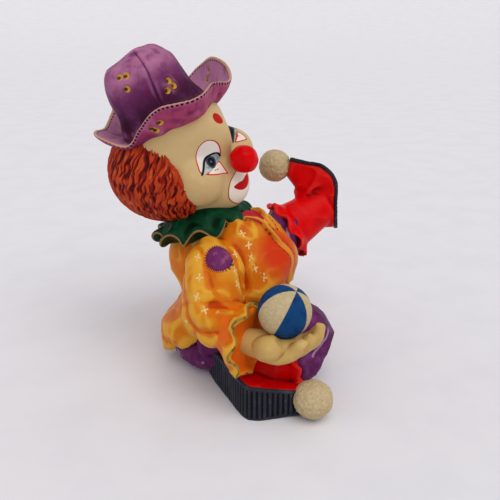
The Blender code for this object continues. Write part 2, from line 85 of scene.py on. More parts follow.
# Nose and hair, in the head's frame: ahead, left and up.
NOSE_AT = (33.2, 0, 0.2)
NOSE_RADII = (6.3, 5.7, 6.1)
HAIR_AT = (-5.5, 0, -2)
HAIR_RADII = (32.6, 31.5, 25.2)
HAIRLINE = ((24, 34), (19, 31.6), (15.5, 28), (12.5, 25.7), (5, 23.4), (-1, 22), (-7, 21.6), (-14, 22.5),
            (-22, 28))
FAR_HAIR_BACK = 11
HAIR_FLAT_WAY = (-0.75, 0, -0.66)
HAIR_FLAT_FROM = 26
STRAND_WIDTH = 0.66
STRAND_LENGTH = 2.6

# Face paint, on a chart of the head: across (half the face, or all of it) and up.
CHART_RADIUS = 24
EYE_PATCH = ((15.4, 3.6), (14.5, 7.4), (12.8, 10.5), (10.6, 12.8), (7.7, 13.7), (5.4, 12.5), (4.4, 10.4),
             (4.2, 7.6), (4.7, 4.9), (8, 3.6), (12.2, 3.2))
EYE = ((15.1, 3.2), (12.4, 5), (9.6, 6.3), (6.5, 6.7), (4.7, 4.7), (5.6, 3), (8.4, 2.4), (11.4, 2.2),
       (14, 2.5))
LASH = ((15.3, 2.9), (12.6, 5.1), (9.8, 6.6), (6.8, 7.1), (5.2, 6.3), (4.5, 4.6))
FAR_EYE = ((21, 4.6), (16, 4.4), (11, 4.1), (8, 3.5), (6, 5), (12, 6.6), (20, 7))
FAR_LASH = ((7, 4.2), (11, 4.9), (15, 5.4), (19, 5.6), (23, 5.4))
FAR_TEAR = ((15.9, 4.5), (8.2, 3.3), (13.4, 0.8))
TEAR_DASHES = (((-9.9, 1.3), (-8, 0.6)), ((12.1, 4), (13.2, 3.4)))
IRIS_AT = (-9.1, 4.4)
IRIS_RADII = (2.3, 2.5)
TEAR = ((5.6, 2.6), (4.2, -4.3), (13.9, 2.3))
BROW_DOT_AT = (0.3, 19.6)
BROW_DOT_RADII = (2.1, 2.2)
MOUTH_PATCH = ((0, -5.6), (-4.3, -7), (-6.6, -9.6), (-7.7, -12.4), (-7.7, -15.2), (-6.2, -18.2), (-2.7, -21),
               (2.7, -21), (6.2, -18.2), (7.7, -15.2), (7.7, -12.4), (6.6, -9.6), (4.3, -7))
LIPS = ((-5, -10.4), (-2.4, -10), (0, -10.6), (2.4, -10), (5, -10.4), (3.8, -12.6), (1.4, -14.3),
        (-1.4, -14.3), (-3.8, -12.6))

# Hat: the middle of the brim, how far it tips back from the head, and the crown's rings.
HAT_AT = (1, 33, 115)
HAT_TIP = 10
BRIM_INSIDE = 18
BRIM_THICK = 2.2
BRIM_REACH = (34.1, 34.5, 34.2, 33.3, 34.1, 33.1, 33.6, 34.3, 32.8, 30, 30.7, 31, 28, 28.5, 35, 41)
BRIM_LIFT = (10.6, 5.9, 9.5, 12.8, 10, 5.8, 10.6, 16, 9.3, 7.3, 10.3, 9.5, 2.8, 8.2, 14, 11.5)
CROWN_RINGS = (
    (-3, 0, 19.5),
    (3, 0.3, 20.2),
    (10, -0.3, 17.6),
    (18, -1.1, 17.3),
    (25.6, -0.8, 16),
    (30.1, -1.5, 12.2),
    (30.7, 0.9, 9.7),
    (33.5, 1.5, 3.4),
)
SEAM_AT = (-16.8, 31.7, 132)
PIT_SHADOW = (-0.3, 0.6, -0.2)
HAT_PITS = (
    (-18.3, 45.2, 134.6), (-18.4, 42.3, 135.2), (-18.1, 42.3, 130.2),
    (-12, 27.1, 133), (-11.2, 24.8, 131.1), (-13.9, 26.5, 129.4),
    (-29.9, 23.4, 118.6), (-29, 27.3, 115.9), (-27.9, 26, 115.2),
    (17, 26, 136), (18.5, 29, 133.5), (18.5, 24, 132),
    (6, 57, 137), (9, 57.5, 134), (4, 58.5, 133.5),
)

# Collar, jacket and arms
RUFF_AT = (-1, 15.5, 71)
RUFF_TIP = 15
RUFF_REACH = 23.5
RUFF_FRONT = 4
RUFF_LOBES = 11
JACKET_RINGS = (
    (33.5, 4.5, -24, 41, 25),
    (35, 10, -25, 44, 27),
    (36, 19, -27.5, 50, 27.5),
    (30, 27, -28, 55, 25.5),
    (27, 35, -26.2, 59.5, 24),
    (29, 43, -21.2, 64.6, 22.5),
    (31.5, 51, -15, 70.6, 20.5),
    (31, 58, -9.6, 73, 17),
    (27, 65, -4, 75, 12.5),
)
JACKET_POWER = 2.4
FAR_ROUNDING = 0.65
LAPEL = ((-8.5, -5, 75), (-8, -12.5, 74), (-8.6, -17.8, 69.6), (-8.2, -22.6, 64), (-6.4, -27, 56),
         (-7, -26.8, 50), (-7.4, -26, 43))
FAR_LAPEL = ((7, -3, 73.5), (4.6, -8.4, 74.8), (2, -12, 74), (-0.4, -15, 70.6), (-3, -17.6, 66))
SHIRT = ((-7, 0), (-7, -13.5), (1, -13), (4, -9), (5, 0))
CHEST_AT = (-10, -22, 58)
CHEST_RADII = (13, 11.5, 15)
ARM_PATH = ((-17, 5.5, 60), (-27, 3, 55), (-33.5, 1.5, 43), (-38, -1, 38.4), (-42, -8, 37), (-45, -16, 35.5))
ARM_RADII = (9, 12, 12.6, 10.8, 9.6, 11.4)
PROP_PATH = ((16, 9, 60), (26, 11, 54), (32, 13, 42), (34, 14, 29), (34, 15, 18))
PROP_RADII = (9, 11, 11, 10.5, 12.5)
RIGHT_CUFF = ((-45.5, -18.2, 33.3), (-0.25, -0.95, 0.02), 15.3, 11)
LEFT_CUFF = ((34, 17, 13), (0, 0.02, -1), 12.5, 9)
CUFF_LOBES = 7
PATCH_AT = (-34.2, -1.8, 64.1)
PATCH_FACES = (-0.63, -0.15, 0.76)
PATCH_RADIUS = 5.6
SMALL_PATCH_AT = (-19, 13.7, 63.2)
CROSSES = (
    (-15, -6.4, 68.3), (-18.1, -10.4, 65.1), (-20.1, -11.8, 59.9), (-20.7, -13.8, 55.2), (-20.6, -17.8, 51.8),
    (-32.5, -7.8, 58.2), (-34.1, -9.5, 52.7), (-40.9, 4.9, 57), (-44.6, 4.7, 50), (-47.3, 0.4, 45.8),
    (-46.4, -5.3, 43.4), (-10, 32, 24.7), (-45.4, 11.5, 37.6), (-34.3, 7.5, 63.2), (-24.7, -5.9, 62.8),
    (36, 18, 56), (42, 14, 48), (40, 20, 38), (43, 12, 32), (30, 2, 52), (18, -14, 62), (14, -20, 50),
    (-12, 32, 50), (8, 34, 44), (-4, 33, 56), (16, 30, 30), (0, 36, 22), (-18, 27, 38), (20, 24, 54),
)

# Legs
SEAT_AT = (0, 8, 10)
SEAT_RADII = (26.5, 24, 13)
NEAR_LEG = ((-12, 8, 14), (-15, -6, 18), (-15, -20, 23), (-13, -31, 23))
NEAR_LEG_RADII = (14, 15, 15, 14)
KNEE_AT = (-13, -34, 23)
KNEE_RADII = (12.8, 13.6, 14.4)
NEAR_SHIN = ((-13, -34, 19), (-19, -34, 14), (-26, -31, 11))
NEAR_SHIN_RADII = (11, 10, 8)
FAR_LEG = ((12, 6, 14), (16, -2, 24), (23, -7, 39), (31, -11.5, 50), (39, -15, 59))
FAR_LEG_RADII = (14, 14, 12.5, 11.5, 9.5)

# Each shoe: its sole from heel over ball to toe, where it bends as shares of those runs, the way across it, how
# it narrows to the toe, its ruffled collar, and the heights of its upper from heel to toe.
Shoe = namedtuple("Shoe", "sole bend across taper collar collar_radius heights")
NEAR_SHOE = Shoe(
    sole=((-20, 10.5, 8), (-54.2, -19, 7.6), (-43.2, -44.5, 6.2)),
    bend=(0.9, 0.14, 0.55),
    across=(0, 0, 1),
    taper=0.62,
    collar=(-23, -34, 14),
    collar_radius=12,
    heights=(12, 15, 16, 17, 15, 8),
)
FAR_SHOE = Shoe(
    sole=((53, -39.5, 53), (52.4, -37.8, 85), (51, -14, 89.5)),
    bend=(0.8, 0.28, 0.62),
    across=(0.952, 0.151, -0.264),
    taper=0.7,
    collar=(39, -14.5, 54),
    collar_radius=16,
    heights=(12, 18, 21.5, 17.5, 15, 8),
)
SOLE_THICK = 2
TREAD_PITCH = 2.25
SHOE_WIDTH = 16
POMPOM_RADIUS = 8.2
NEAR_POMPOM_AT = (-44, -45, 9)
FAR_POMPOM_AT = (50, -6, 85)

# Hands
RIGHT_WRIST = ((-45, -14, 33), (-45.6, -22, 32.6), (-45, -28, 32))
RIGHT_WRIST_RADII = (5, 6.2, 6.4)
RIGHT_PALM_AT = (-43.5, -30, 33)
RIGHT_PALM_RADII = (11, 10, 5.6)
RIGHT_THUMB = ((-49.6, -24.4, 32.2), (-52.2, -28.4, 35), (-52, -32, 37.8))
RIGHT_THUMB_RADII = (5, 5.4, 3.6)
FINGER_RADII = (3.4, 3.3, 3, 2.7, 1.9)
FINGERS = ((-51, -40.6, 36.5), (-46.2, -43.2, 39.5), (-41.2, -45.4, 42.4), (-36.4, -45, 40))
LEFT_AT = (34, 15, 5)
LEFT_RADII = (8, 10, 7)
LEFT_WRIST = ((34, 17, 16), (34, 16, 6))
LEFT_THUMB = ((29, 12, 6), (25.5, 7, 4.5), (24.5, 3, 3))
LEFT_FINGER_RADII = (3.2, 3, 2.2)
LEFT_FINGERS = (-5.5, -1.8, 1.9, 5.6)

# The strokes of light paint on the trousers.
LILAC_STROKES = (
    ((-11, -46.5, 32), (-17, -46.8, 28), (-21.5, -44.4, 23), (-24, -41, 18)),
    ((-18, 25, 10), (-22.5, 21, 5.5), (-26, 14, 5.5), (-27, 9, 9)),
    ((27, -17.5, 59), (24.5, -19.2, 55), (26.5, -20, 52)),
    ((22, -19, 50), (25, -20, 47), (29, -20, 46)),
    ((-10, -47, 30), (-4, -46, 22), (0, -40, 16)),
    ((10, 30, 8), (2, 32, 6), (-6, 31, 9)),
    ((30, 2, 34), (34, -2, 44), (38, -6, 52)),
)

# Ball: the way to the point where its panels meet, how they are turned, and the fingers' gap round it.
BALL_POLE = (-0.12, -0.44, 0.89)
BALL_PANELS = 3
BALL_GAP = 0.15
BALL_BLUE_SHARE = 0.5
BALL_TURN = 48


def unit(v):
    v = np.asarray(v, float)
    return v / np.linalg.norm(v, axis=-1, keepdims=True)


def length(v):
    return np.linalg.norm(v, axis=-1)


def circle(count):
    """Angles in even steps once round."""
    return np.linspace(0, 2 * math.pi, count, endpoint=False)


def hump(x, width):
    return np.exp(-((x / width) ** 2))


def pleats(x):
    """Folds with round backs and narrow valleys."""
    return np.abs(np.sin(x)) ** 0.7 - 0.6


def boxed(x, power):
    """A sine or cosine made squarer by a power below 1."""
    return np.sign(x) * np.abs(x) ** power


def turned(turn, tip, lean):
    """Forward, left and up of a head that first leans, then tips, then turns."""
    a, b, c = (math.radians(x) for x in (turn, tip, lean))
    about_y = np.array([[math.cos(c), 0, math.sin(c)], [0, 1, 0], [-math.sin(c), 0, math.cos(c)]])
    about_x = np.array([[1, 0, 0], [0, math.cos(b), -math.sin(b)], [0, math.sin(b), math.cos(b)]])
    about_z = np.array([[math.cos(a), -math.sin(a), 0], [math.sin(a), math.cos(a), 0], [0, 0, 1]])
    whole = about_z @ about_x @ about_y
    return whole @ (0, -1, 0), whole @ (1, 0, 0), whole @ (0, 0, 1)


HEAD = np.array(turned(HEAD_TURN, HEAD_TIP, HEAD_LEAN))
_tip = math.radians(HAT_TIP)
HAT = np.array([
    math.cos(_tip) * HEAD[0] + math.sin(_tip) * HEAD[2],
    HEAD[1],
    math.cos(_tip) * HEAD[2] - math.sin(_tip) * HEAD[0],
])
WORLD = np.eye(3)


def in_head(point):
    return HEAD_AT + np.asarray(point, float) @ HEAD


def from_head(points):
    return (points - HEAD_AT) @ HEAD.T


# Shapes


def spline(points, count, closed=False):
    """Count points on a smooth curve through the given ones."""
    p = np.asarray(points, float)
    if p.ndim == 1:
        p = p[:, None]
    n = len(p)
    t = np.linspace(0, n if closed else n - 1, count, endpoint=not closed)
    i = np.minimum(t.astype(int), n - 1 if closed else n - 2)
    f = (t - i)[:, None]

    def at(k):
        return p[k % n] if closed else p[np.clip(k, 0, n - 1)]

    a, b, c, d = at(i - 1), at(i), at(i + 1), at(i + 2)
    out = b + 0.5 * f * (c - a + f * (2 * a - 5 * b + 4 * c - d + f * (3 * (b - c) + d - a)))
    return out[:, 0] if out.shape[1] == 1 else out


def skin(rings, closed=False):
    """Points and faces over rings of equal length; the ends are closed by fans unless the rings go round."""
    rings = np.asarray(rings, float)
    rows, cols, _ = rings.shape
    points = list(rings.reshape(-1, 3))
    faces = []
    for r in range(rows if closed else rows - 1):
        low, high = r * cols, (r + 1) % rows * cols
        for c in range(cols):
            d = (c + 1) % cols
            faces.append((low + c, low + d, high + d, high + c))
    if not closed:
        for row, flip in ((0, True), (rows - 1, False)):
            middle = len(points)
            points.append(rings[row].mean(axis=0))
            for c in range(cols):
                pair = (row * cols + c, row * cols + (c + 1) % cols)
                faces.append((*(pair[::-1] if flip else pair), middle))
    return np.array(points), faces


def sweep(path, radii, steps, sides, hint=(1, 0, 0), bump=None):
    """A tube along a smooth path; bump(t, angle) adds to its radius."""
    line = spline(path, steps)
    ahead = unit(np.gradient(line, axis=0))
    side = unit(np.cross(hint, ahead))
    over = np.cross(ahead, side)
    angle = circle(sides)
    rings = []
    for i, (t, r) in enumerate(zip(np.linspace(0, 1, steps), spline(radii, steps))):
        grown = r + (bump(t, angle) if bump else 0)
        across = np.outer(np.cos(angle) * grown, side[i])
        rings.append(line[i] + across + np.outer(np.sin(angle) * grown, over[i]))
    return skin(rings)


def directions(rows, cols, front=0.0):
    """Directions over a ball; front crowds the columns round its first axis."""
    lat = np.linspace(-math.pi / 2, math.pi / 2, rows + 2)[1:-1, None]
    turn = circle(cols)[None, :]
    lon = turn - front * np.sin(turn)
    return np.stack([np.cos(lat) * np.cos(lon), np.cos(lat) * np.sin(lon), np.sin(lat) + 0 * lon], -1)


def lump_reach(d, middle, radii):
    """How far a ray from the origin along each d leaves an ellipsoid that holds the origin or lies ahead."""
    m, k = np.asarray(middle, float) / radii, d / radii
    a, b, c = (k * k).sum(-1), (k * m).sum(-1), (m * m).sum() - 1
    inside = b * b - a * c
    return np.where(inside > 0, (b + np.sqrt(np.maximum(inside, 0))) / a, 0)


def lumps(at, parts, rows, cols, axes=WORLD, blend=1.2, shape=None, front=0.0):
    """One smooth swelling form: the outermost of several ellipsoids, blended where they meet."""
    d = directions(rows, cols, front)
    reach = np.stack([lump_reach(d, *part) for part in parts])
    top = reach.max(axis=0)
    r = top + blend * np.log(np.exp((reach - top) / blend).sum(axis=0))
    if shape:
        r = shape(d, r)
    return skin(np.asarray(at, float) + (d * r[..., None]) @ np.asarray(axes, float))


def egg(at, radii, rows, cols, **more):
    return lumps(at, (((0, 0, 0), radii),), rows, cols, **more)


def grain(points, size, seed=0):
    """Smooth noise from 0 to 1 over a lattice of the given size, the same on each run."""
    p = np.asarray(points, float) / size + 100.5
    cell = np.floor(p).astype(np.int64)
    f = p - cell
    f = f * f * (3 - 2 * f)
    total = 0
    for corner in range(8):
        step = np.array([corner & 1, corner >> 1 & 1, corner >> 2])
        x, y, z = np.moveaxis(cell + step, -1, 0)
        mixed = (x * 374761393 + y * 668265263 + z * 1103515245 + seed * 974711) & 0xFFFFFFFF
        mixed = ((mixed ^ (mixed >> 13)) * 1274126177) & 0xFFFFFFFF
        mixed = (mixed ^ (mixed >> 16)) & 0xFFFFFF
        share = np.where(step, f, 1 - f).prod(axis=-1)
        total = total + share * mixed / 0xFFFFFF
    return total


class Form:
    """One closed piece in millimetres, with the values that its paint reads at each point."""

    def __init__(self, points, faces):
        self.points = np.asarray(points, float)
        self.faces = faces
        sides = [f for f in faces if len(f) == 4]
        quads = np.array(sides).reshape(-1, 4)
        tris = np.array([f for f in faces if len(f) == 3]).reshape(-1, 3)
        self.tris = np.concatenate([quads[:, :3], quads[:, [0, 2, 3]], tris]).astype(int)
        ends = np.concatenate([self.tris[:, [0, 1]], self.tris[:, [1, 2]], self.tris[:, [2, 0]]])
        self.links = np.concatenate([ends, ends[:, ::-1]])
        self.paint = {}

    def normals(self):
        a, b, c = (self.points[self.tris[:, k]] for k in range(3))
        face = np.cross(b - a, c - a)
        total = np.zeros_like(self.points)
        for k in range(3):
            for axis in range(3):
                total[:, axis] += np.bincount(self.tris[:, k], face[:, axis], len(self.points))
        return total / np.maximum(length(total), 1e-12)[:, None]

    def spread(self, values, times):
        """Values averaged with those of the neighbours, several times over."""
        count = len(self.points)
        near, far = self.links.T
        weight = np.bincount(near, minlength=count)
        flat = values.reshape(count, -1).copy()
        for _ in range(times):
            for k in range(flat.shape[1]):
                flat[:, k] = np.bincount(near, flat[far, k], count) / weight
        return flat.reshape(values.shape)

    def settle(self):
        """Lifts every point that lies below the ground up to it."""
        self.points[:, 2] = np.maximum(self.points[:, 2], 0)

    def push(self, amount):
        self.points = self.points + self.normals() * np.asarray(amount)[:, None]

    def hollow(self, times):
        """How far each point lies under the smoothed surface."""
        return ((self.spread(self.points, times) - self.points) * self.normals()).sum(axis=1)


def closed_mesh(name, points, faces):
    """A mesh whose faces all look outwards."""
    mesh = bpy.data.meshes.new(name)
    mesh.from_pydata(points * MM, [], faces)
    form = bmesh.new()
    form.from_mesh(mesh)
    bmesh.ops.recalc_face_normals(form, faces=form.faces)
    form.to_mesh(mesh)
    form.free()
    return mesh


def placed(name, data):
    made = bpy.data.objects.new(name, data)
    bpy.context.scene.collection.objects.link(made)
    return made


def fused(skins, voxel, soften=3):
    """One outer surface round several overlapping closed skins, built from cells of the voxel's size."""
    points, faces, start = [], [], 0
    for p, f in skins:
        points.append(p)
        faces += [tuple(k + start for k in face) for face in f]
        start += len(p)
    mesh = closed_mesh("fusing", np.concatenate(points), faces)
    made = placed("fusing", mesh)
    fuse = made.modifiers.new("fuse", "REMESH")
    fuse.mode = "VOXEL"
    fuse.voxel_size = voxel * MM
    shape = made.evaluated_get(bpy.context.evaluated_depsgraph_get()).to_mesh()
    co = np.empty(len(shape.vertices) * 3)
    shape.vertices.foreach_get("co", co)
    corners = np.empty(len(shape.loops), int)
    shape.loops.foreach_get("vertex_index", corners)
    starts = np.empty(len(shape.polygons), int)
    shape.polygons.foreach_get("loop_start", starts)
    faces = [tuple(int(k) for k in run) for run in np.split(corners, starts[1:])]
    bpy.data.objects.remove(made)
    bpy.data.meshes.remove(mesh)
    form = Form(co.reshape(-1, 3) / MM, faces)
    form.points = form.spread(form.points, soften)
    return form


def nearest(points, places):
    """Distance from each point to the nearest of several places."""
    return np.minimum.reduce([length(points - place) for place in places])


def near_line(points, line, closed=False):
    """Distance from each point to a line through points, and how far along the line the nearest place is."""
    line = np.asarray(line, float)
    ends = np.roll(line, -1, axis=0) if closed else line[1:]
    starts = line if closed else line[:-1]
    along = np.concatenate([[0], np.cumsum(length(ends - starts))])
    best = np.full(len(points), 1e9)
    place = np.zeros(len(points))
    for k, (a, b) in enumerate(zip(starts, ends)):
        run = b - a
        far = max(length(run), 1e-9)
        t = np.clip((points - a) @ run / far**2, 0, 1)
        away = length(points - a - t[:, None] * run)
        nearer = away < best
        best = np.where(nearer, away, best)
        place = np.where(nearer, along[k] + t * far, place)
    return best, place


def outline_distance(x, y, corners, smooth=6):
    """Signed distance to a closed outline, below zero inside it."""
    line = spline(corners, smooth * len(corners), closed=True) if smooth else np.asarray(corners, float)
    best = np.full(len(x), 1e9)
    inside = np.zeros(len(x), bool)
    for (ax, ay), (bx, by) in zip(line, np.roll(line, -1, axis=0)):
        run = max((bx - ax) ** 2 + (by - ay) ** 2, 1e-12)
        t = np.clip(((x - ax) * (bx - ax) + (y - ay) * (by - ay)) / run, 0, 1)
        best = np.minimum(best, np.hypot(x - ax - t * (bx - ax), y - ay - t * (by - ay)))
        crosses = ((ay > y) != (by > y)) & (x < ax + (y - ay) * (bx - ax) / (by - ay + 1e-12))
        inside ^= crosses
    return np.where(inside, -best, best)


def piece(name, form, material, node=FIGURE):
    """The form as a smooth-shaded object that rides on the figure and stands for its solid."""
    mesh = closed_mesh(name, form.points, form.faces)
    for key, values in form.paint.items():
        layer = mesh.attributes.new(key, "FLOAT", "POINT")
        layer.data.foreach_set("value", np.asarray(values, np.float32))
    mesh.shade_smooth()
    mesh.materials.append(material)
    made = placed(name, mesh)
    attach(made, "root")
    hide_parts(node)


# Paint


def colour(tone):
    """A colour seen on screen, 0 to 255, as the shader's own values."""
    shares = (v / 255 for v in tone)
    return (*(v / 12.92 if v <= 0.04045 else ((v + 0.055) / 1.055) ** 2.4 for v in shares), 1)


class Paint:
    """A painted surface whose colour is built up in layers, as a brush would.

    A value is a number, the output of a node or the name of a value that the form carries.
    """

    def __init__(self, name, base, rough=0.42, specular=0.09, overall_tint=(1, 1, 1)):
        self.material = bpy.data.materials.new(name)
        self.material.use_nodes = True
        self.nodes = self.material.node_tree.nodes
        self.surface = self.nodes["Principled BSDF"].inputs
        self.surface["Roughness"].default_value = rough
        self.surface["Specular IOR Level"].default_value = specular
        self.where = self.node("TexCoord").outputs["Object"]
        self.seen = colour(base)
        self.overall_tint = overall_tint
        self.relief = None

    def put(self, socket, value):
        if isinstance(value, str):
            node = self.node("Attribute")
            node.attribute_name = value
            value = node.outputs["Fac"]
        if isinstance(value, bpy.types.NodeSocket):
            self.material.node_tree.links.new(value, socket)
        else:
            socket.default_value = value

    def node(self, kind, **inputs):
        """A new node with values for its inputs, whose names have _ for a space."""
        made = self.nodes.new("ShaderNode" + kind)
        for name, value in inputs.items():
            self.put(made.inputs[name.replace("_", " ")], value)
        return made

    def maths(self, operation, a, b):
        node = self.node("Math")
        node.operation = operation
        self.put(node.inputs[0], a)
        self.put(node.inputs[1], b)
        return node.outputs[0]

    def both(self, a, b):
        return self.maths("MULTIPLY", a, b)

    def off(self, value, middle=0.0):
        """How far a value lies from a middle, on either side."""
        return self.maths("ABSOLUTE", self.maths("SUBTRACT", value, middle), 0.0)

    def span(self, value, low, high):
        """0 below low, 1 above high, smooth between; low above high turns it round."""
        (first, start), (last, end) = sorted(((low, 0), (high, 1)))
        node = self.node("MapRange", Value=value, From_Min=first, From_Max=last, To_Min=start, To_Max=end)
        node.interpolation_type = "SMOOTHSTEP"
        return node.outputs["Result"]

    def noise(self, size, detail=3, rough=0.55):
        """Noise whose blotches are about size millimetres."""
        node = self.node("TexNoise", Vector=self.where, Scale=1 / (size * MM), Detail=detail, Roughness=rough)
        return node.outputs["Fac"]

    def layer(self, tone, value, low=None, high=None, strength=1):
        """Lays a colour over what is there, where the value is near 1 or has gone from low to high."""
        if low is not None:
            value = self.span(value, low, high)
        if strength != 1:
            value = self.both(value, strength)
        self.seen = self.node("MixRGB", Fac=value, Color1=self.seen, Color2=colour(tone)).outputs[0]

    def bump(self, depth, size, detail=3):
        """Fine relief over the mesh's own, with its depth and the size of its grains in millimetres."""
        node = self.node("Bump", Strength=1, Distance=depth * MM, Height=self.noise(size, detail))
        if self.relief:
            self.put(node.inputs["Normal"], self.relief)
        self.relief = node.outputs[0]

    def rough(self, value, low, high):
        node = self.node("MapRange", Value=value, To_Min=low, To_Max=high)
        self.put(self.surface["Roughness"], node.outputs[0])

    def done(self):
        """The finished material, with a darkening tint multiplied over all the paint."""
        node = self.node("MixRGB", Fac=1, Color1=self.seen, Color2=(*self.overall_tint, 1))
        node.blend_type = "MULTIPLY"
        self.put(self.surface["Base Color"], node.outputs[0])
        if self.relief:
            self.put(self.surface["Normal"], self.relief)
        return self.material


# Head


def brim_at(angle):
    """How far the brim reaches and how high its rim lifts, at angles from the front round to the left."""
    turn = np.linspace(0, 2 * math.pi, 361)
    rows = (spline(row, 360, closed=True) for row in (BRIM_REACH, BRIM_LIFT))
    return [np.interp(angle % (2 * math.pi), turn, np.append(row, row[0])) for row in rows]


def brim_height(s, high):
    return 1.2 - 1.6 * np.sin(s * math.pi) + (high - 1.2) * s**2.2


def under_hat(points):
    """Points held below the top of the brim, so that nothing comes through it."""
    local = (points - HAT_AT) @ HAT.T
    far, high = brim_at(np.arctan2(local[:, 1], local[:, 0]))
    s = np.clip((np.hypot(local[:, 0], local[:, 1]) - BRIM_INSIDE) / (far - BRIM_INSIDE), 0, 1)
    local[:, 2] = np.minimum(local[:, 2], brim_height(s, high) - 1.3)
    return HAT_AT + local @ HAT


def face():
    """The doll-like head with its hollows, and the paint on it as distances to each outline."""

    def hollows(d, r):
        for way, depth, spread in HEAD_DENTS:
            r = r - depth * np.exp(-(1 - d @ unit(way)) / spread)
        bridge = hump(d[..., 1], 0.16) * hump(d[..., 2] - 0.42, 0.26) * (d[..., 0] > 0)
        return r + BRIDGE_RISE * bridge

    form = Form(*lumps(HEAD_AT, HEAD_LUMPS, 170, 230, axes=HEAD, blend=1.8, shape=hollows, front=0.6))
    form.points = under_hat(form.points)
    ahead, left, up = from_head(form.points).T
    across = CHART_RADIUS * np.arctan2(left, ahead)
    half = np.abs(across)
    near = across < 0
    chart = np.stack([across, up, 0 * up], -1)

    def to_line(line):
        return near_line(chart, np.c_[line, np.zeros(len(line))])[0]

    def to_oval(at, radii):
        return np.hypot((across - at[0]) / radii[0], (up - at[1]) / radii[1])

    def on_either(near_outline, far_outline, smooth=6):
        outlines = (outline_distance(half, up, outline, smooth) for outline in (near_outline, far_outline))
        return np.where(near, *outlines)

    form.paint.update(
        patch=np.where(near, outline_distance(half, up, EYE_PATCH), 9),
        eye=on_either(EYE, FAR_EYE),
        lash=np.where(near, to_line(spline(LASH, 40) * (-1, 1)), 0.75 * to_line(spline(FAR_LASH, 40))),
        iris=to_oval(IRIS_AT, IRIS_RADII),
        tear=on_either(TEAR, FAR_TEAR, smooth=0),
        dash=np.minimum(*(to_line(line) for line in TEAR_DASHES)),
        dot=to_oval(BROW_DOT_AT, BROW_DOT_RADII),
        mouth=outline_distance(across, up, MOUTH_PATCH),
        lips=outline_distance(across, up, LIPS),
    )
    return form


def face_paint():
    p = Paint("face_paint", (220, 196, 152), rough=0.4, overall_tint=(0.84, 0.78, 0.64))
    p.layer((204, 172, 120), p.noise(14), 0.4, 0.75, 0.55)
    p.layer((236, 218, 186), p.noise(7, 2), 0.5, 0.8, 0.4)
    p.layer((246, 243, 255), "patch", 0.1, -0.1)
    p.layer((206, 40, 36), p.off("patch"), 0.32, 0.16)
    p.layer((255, 252, 255), "tear", 0.1, -0.1)
    p.layer((214, 40, 36), p.off("tear"), 0.3, 0.15)
    p.layer((214, 40, 36), "dash", 0.3, 0.18)
    p.layer((142, 160, 178), "eye", 0.08, -0.08)
    p.layer((205, 214, 222), p.both(p.span("eye", 0.0, -0.2), p.span(p.noise(3, 2), 0.45, 0.7)))
    p.layer((52, 70, 100), "iris", 1.0, 0.86)
    p.layer((12, 16, 34), "iris", 0.72, 0.55)
    p.layer((120, 130, 150), "iris", 0.2, 0.1)
    p.layer((10, 12, 20), "lash", 0.55, 0.3)
    p.layer((196, 30, 26), "dot", 1.05, 0.95)
    p.layer((255, 254, 255), "mouth", 0.1, -0.1)
    p.layer((170, 60, 44), p.off("mouth"), 0.28, 0.12)
    p.layer((205, 4, 16), "lips", 0.12, -0.12)
    p.bump(0.05, 1.6)
    p.bump(0.12, 9, 2)
    p.rough(p.noise(6, 2), 0.28, 0.46)
    return p.done()


def nose():
    """A blunt, slightly squared ball with a flatter tip."""

    def blunt(d, r):
        square = (np.abs(d) ** 3).sum(axis=-1) ** (-1 / 3)
        dents = 0.12 * np.sin(7 * d[..., 1] + 2) * np.sin(6 * d[..., 2])
        return r * (0.53 + 0.42 * square) + dents

    return Form(*egg(in_head(NOSE_AT), NOSE_RADII, 70, 96, axes=HEAD, shape=blunt))


def red_paint(name, deep=(176, 0, 8), rough=0.36):
    p = Paint(name, (216, 2, 12), rough=rough, specular=0.07, overall_tint=(1, 0.5, 0.5))
    p.layer(deep, p.noise(9), 0.5, 0.8, 0.45)
    p.layer((228, 24, 26), p.noise(5, 2), 0.55, 0.8, 0.4)
    p.bump(0.05, 1.4)
    p.bump(0.12, 5, 2)
    return p


def hair():
    """The wig behind the face: short wavy strokes that run down and back from the hairline."""

    def flattened(d, r):
        return r - 0.6 * np.maximum(r * (d @ unit(HAIR_FLAT_WAY)) - HAIR_FLAT_FROM, 0)

    form = Form(*egg(in_head(HAIR_AT), HAIR_RADII, 215, 460, axes=HEAD, shape=flattened, front=-0.4))
    local = from_head(form.points)
    ahead, left, up = local.T
    around = CHART_RADIUS * np.abs(np.arctan2(left, ahead))
    levels, limits = (np.array(row)[::-1] for row in zip(*HAIRLINE))
    limit = np.interp(up, levels, limits) + 0.5 * (grain(local, 2.5, 9) - 0.5)
    limit = limit + FAR_HAIR_BACK * np.clip(left / 4, 0, 1) * np.clip((up + 7) / 6, 0, 1)
    back = around - limit
    slant = np.clip(0.75 - 0.022 * (around - 22), 0, 0.75)
    wave = 0.42 * np.sin(up / 0.85 + around / 3) + 2.2 * grain(local, 6, 1)
    across = (1.3 * around + slant * up + wave) / STRAND_WIDTH
    along = (up + 1.5 * grain(local, 4, 2)) / STRAND_LENGTH
    stroke = grain(np.stack([across, along, np.sign(left) * 40], -1), 1, 3)
    lift = np.clip((stroke - 0.28) / 0.4, 0, 1)
    form.push(0.95 * (lift - 0.72))

    local = from_head(form.points)
    sink = np.clip(-back / 1.3, 0, 1)
    depth = 0.3 + 0.25 * np.clip(local[:, 1] / 4, 0, 1)
    local[:, :2] *= (1 - depth * sink * sink * (3 - 2 * sink))[:, None]
    form.points = under_hat(in_head(local))
    form.paint.update(groove=1 - lift, line=back)
    return form


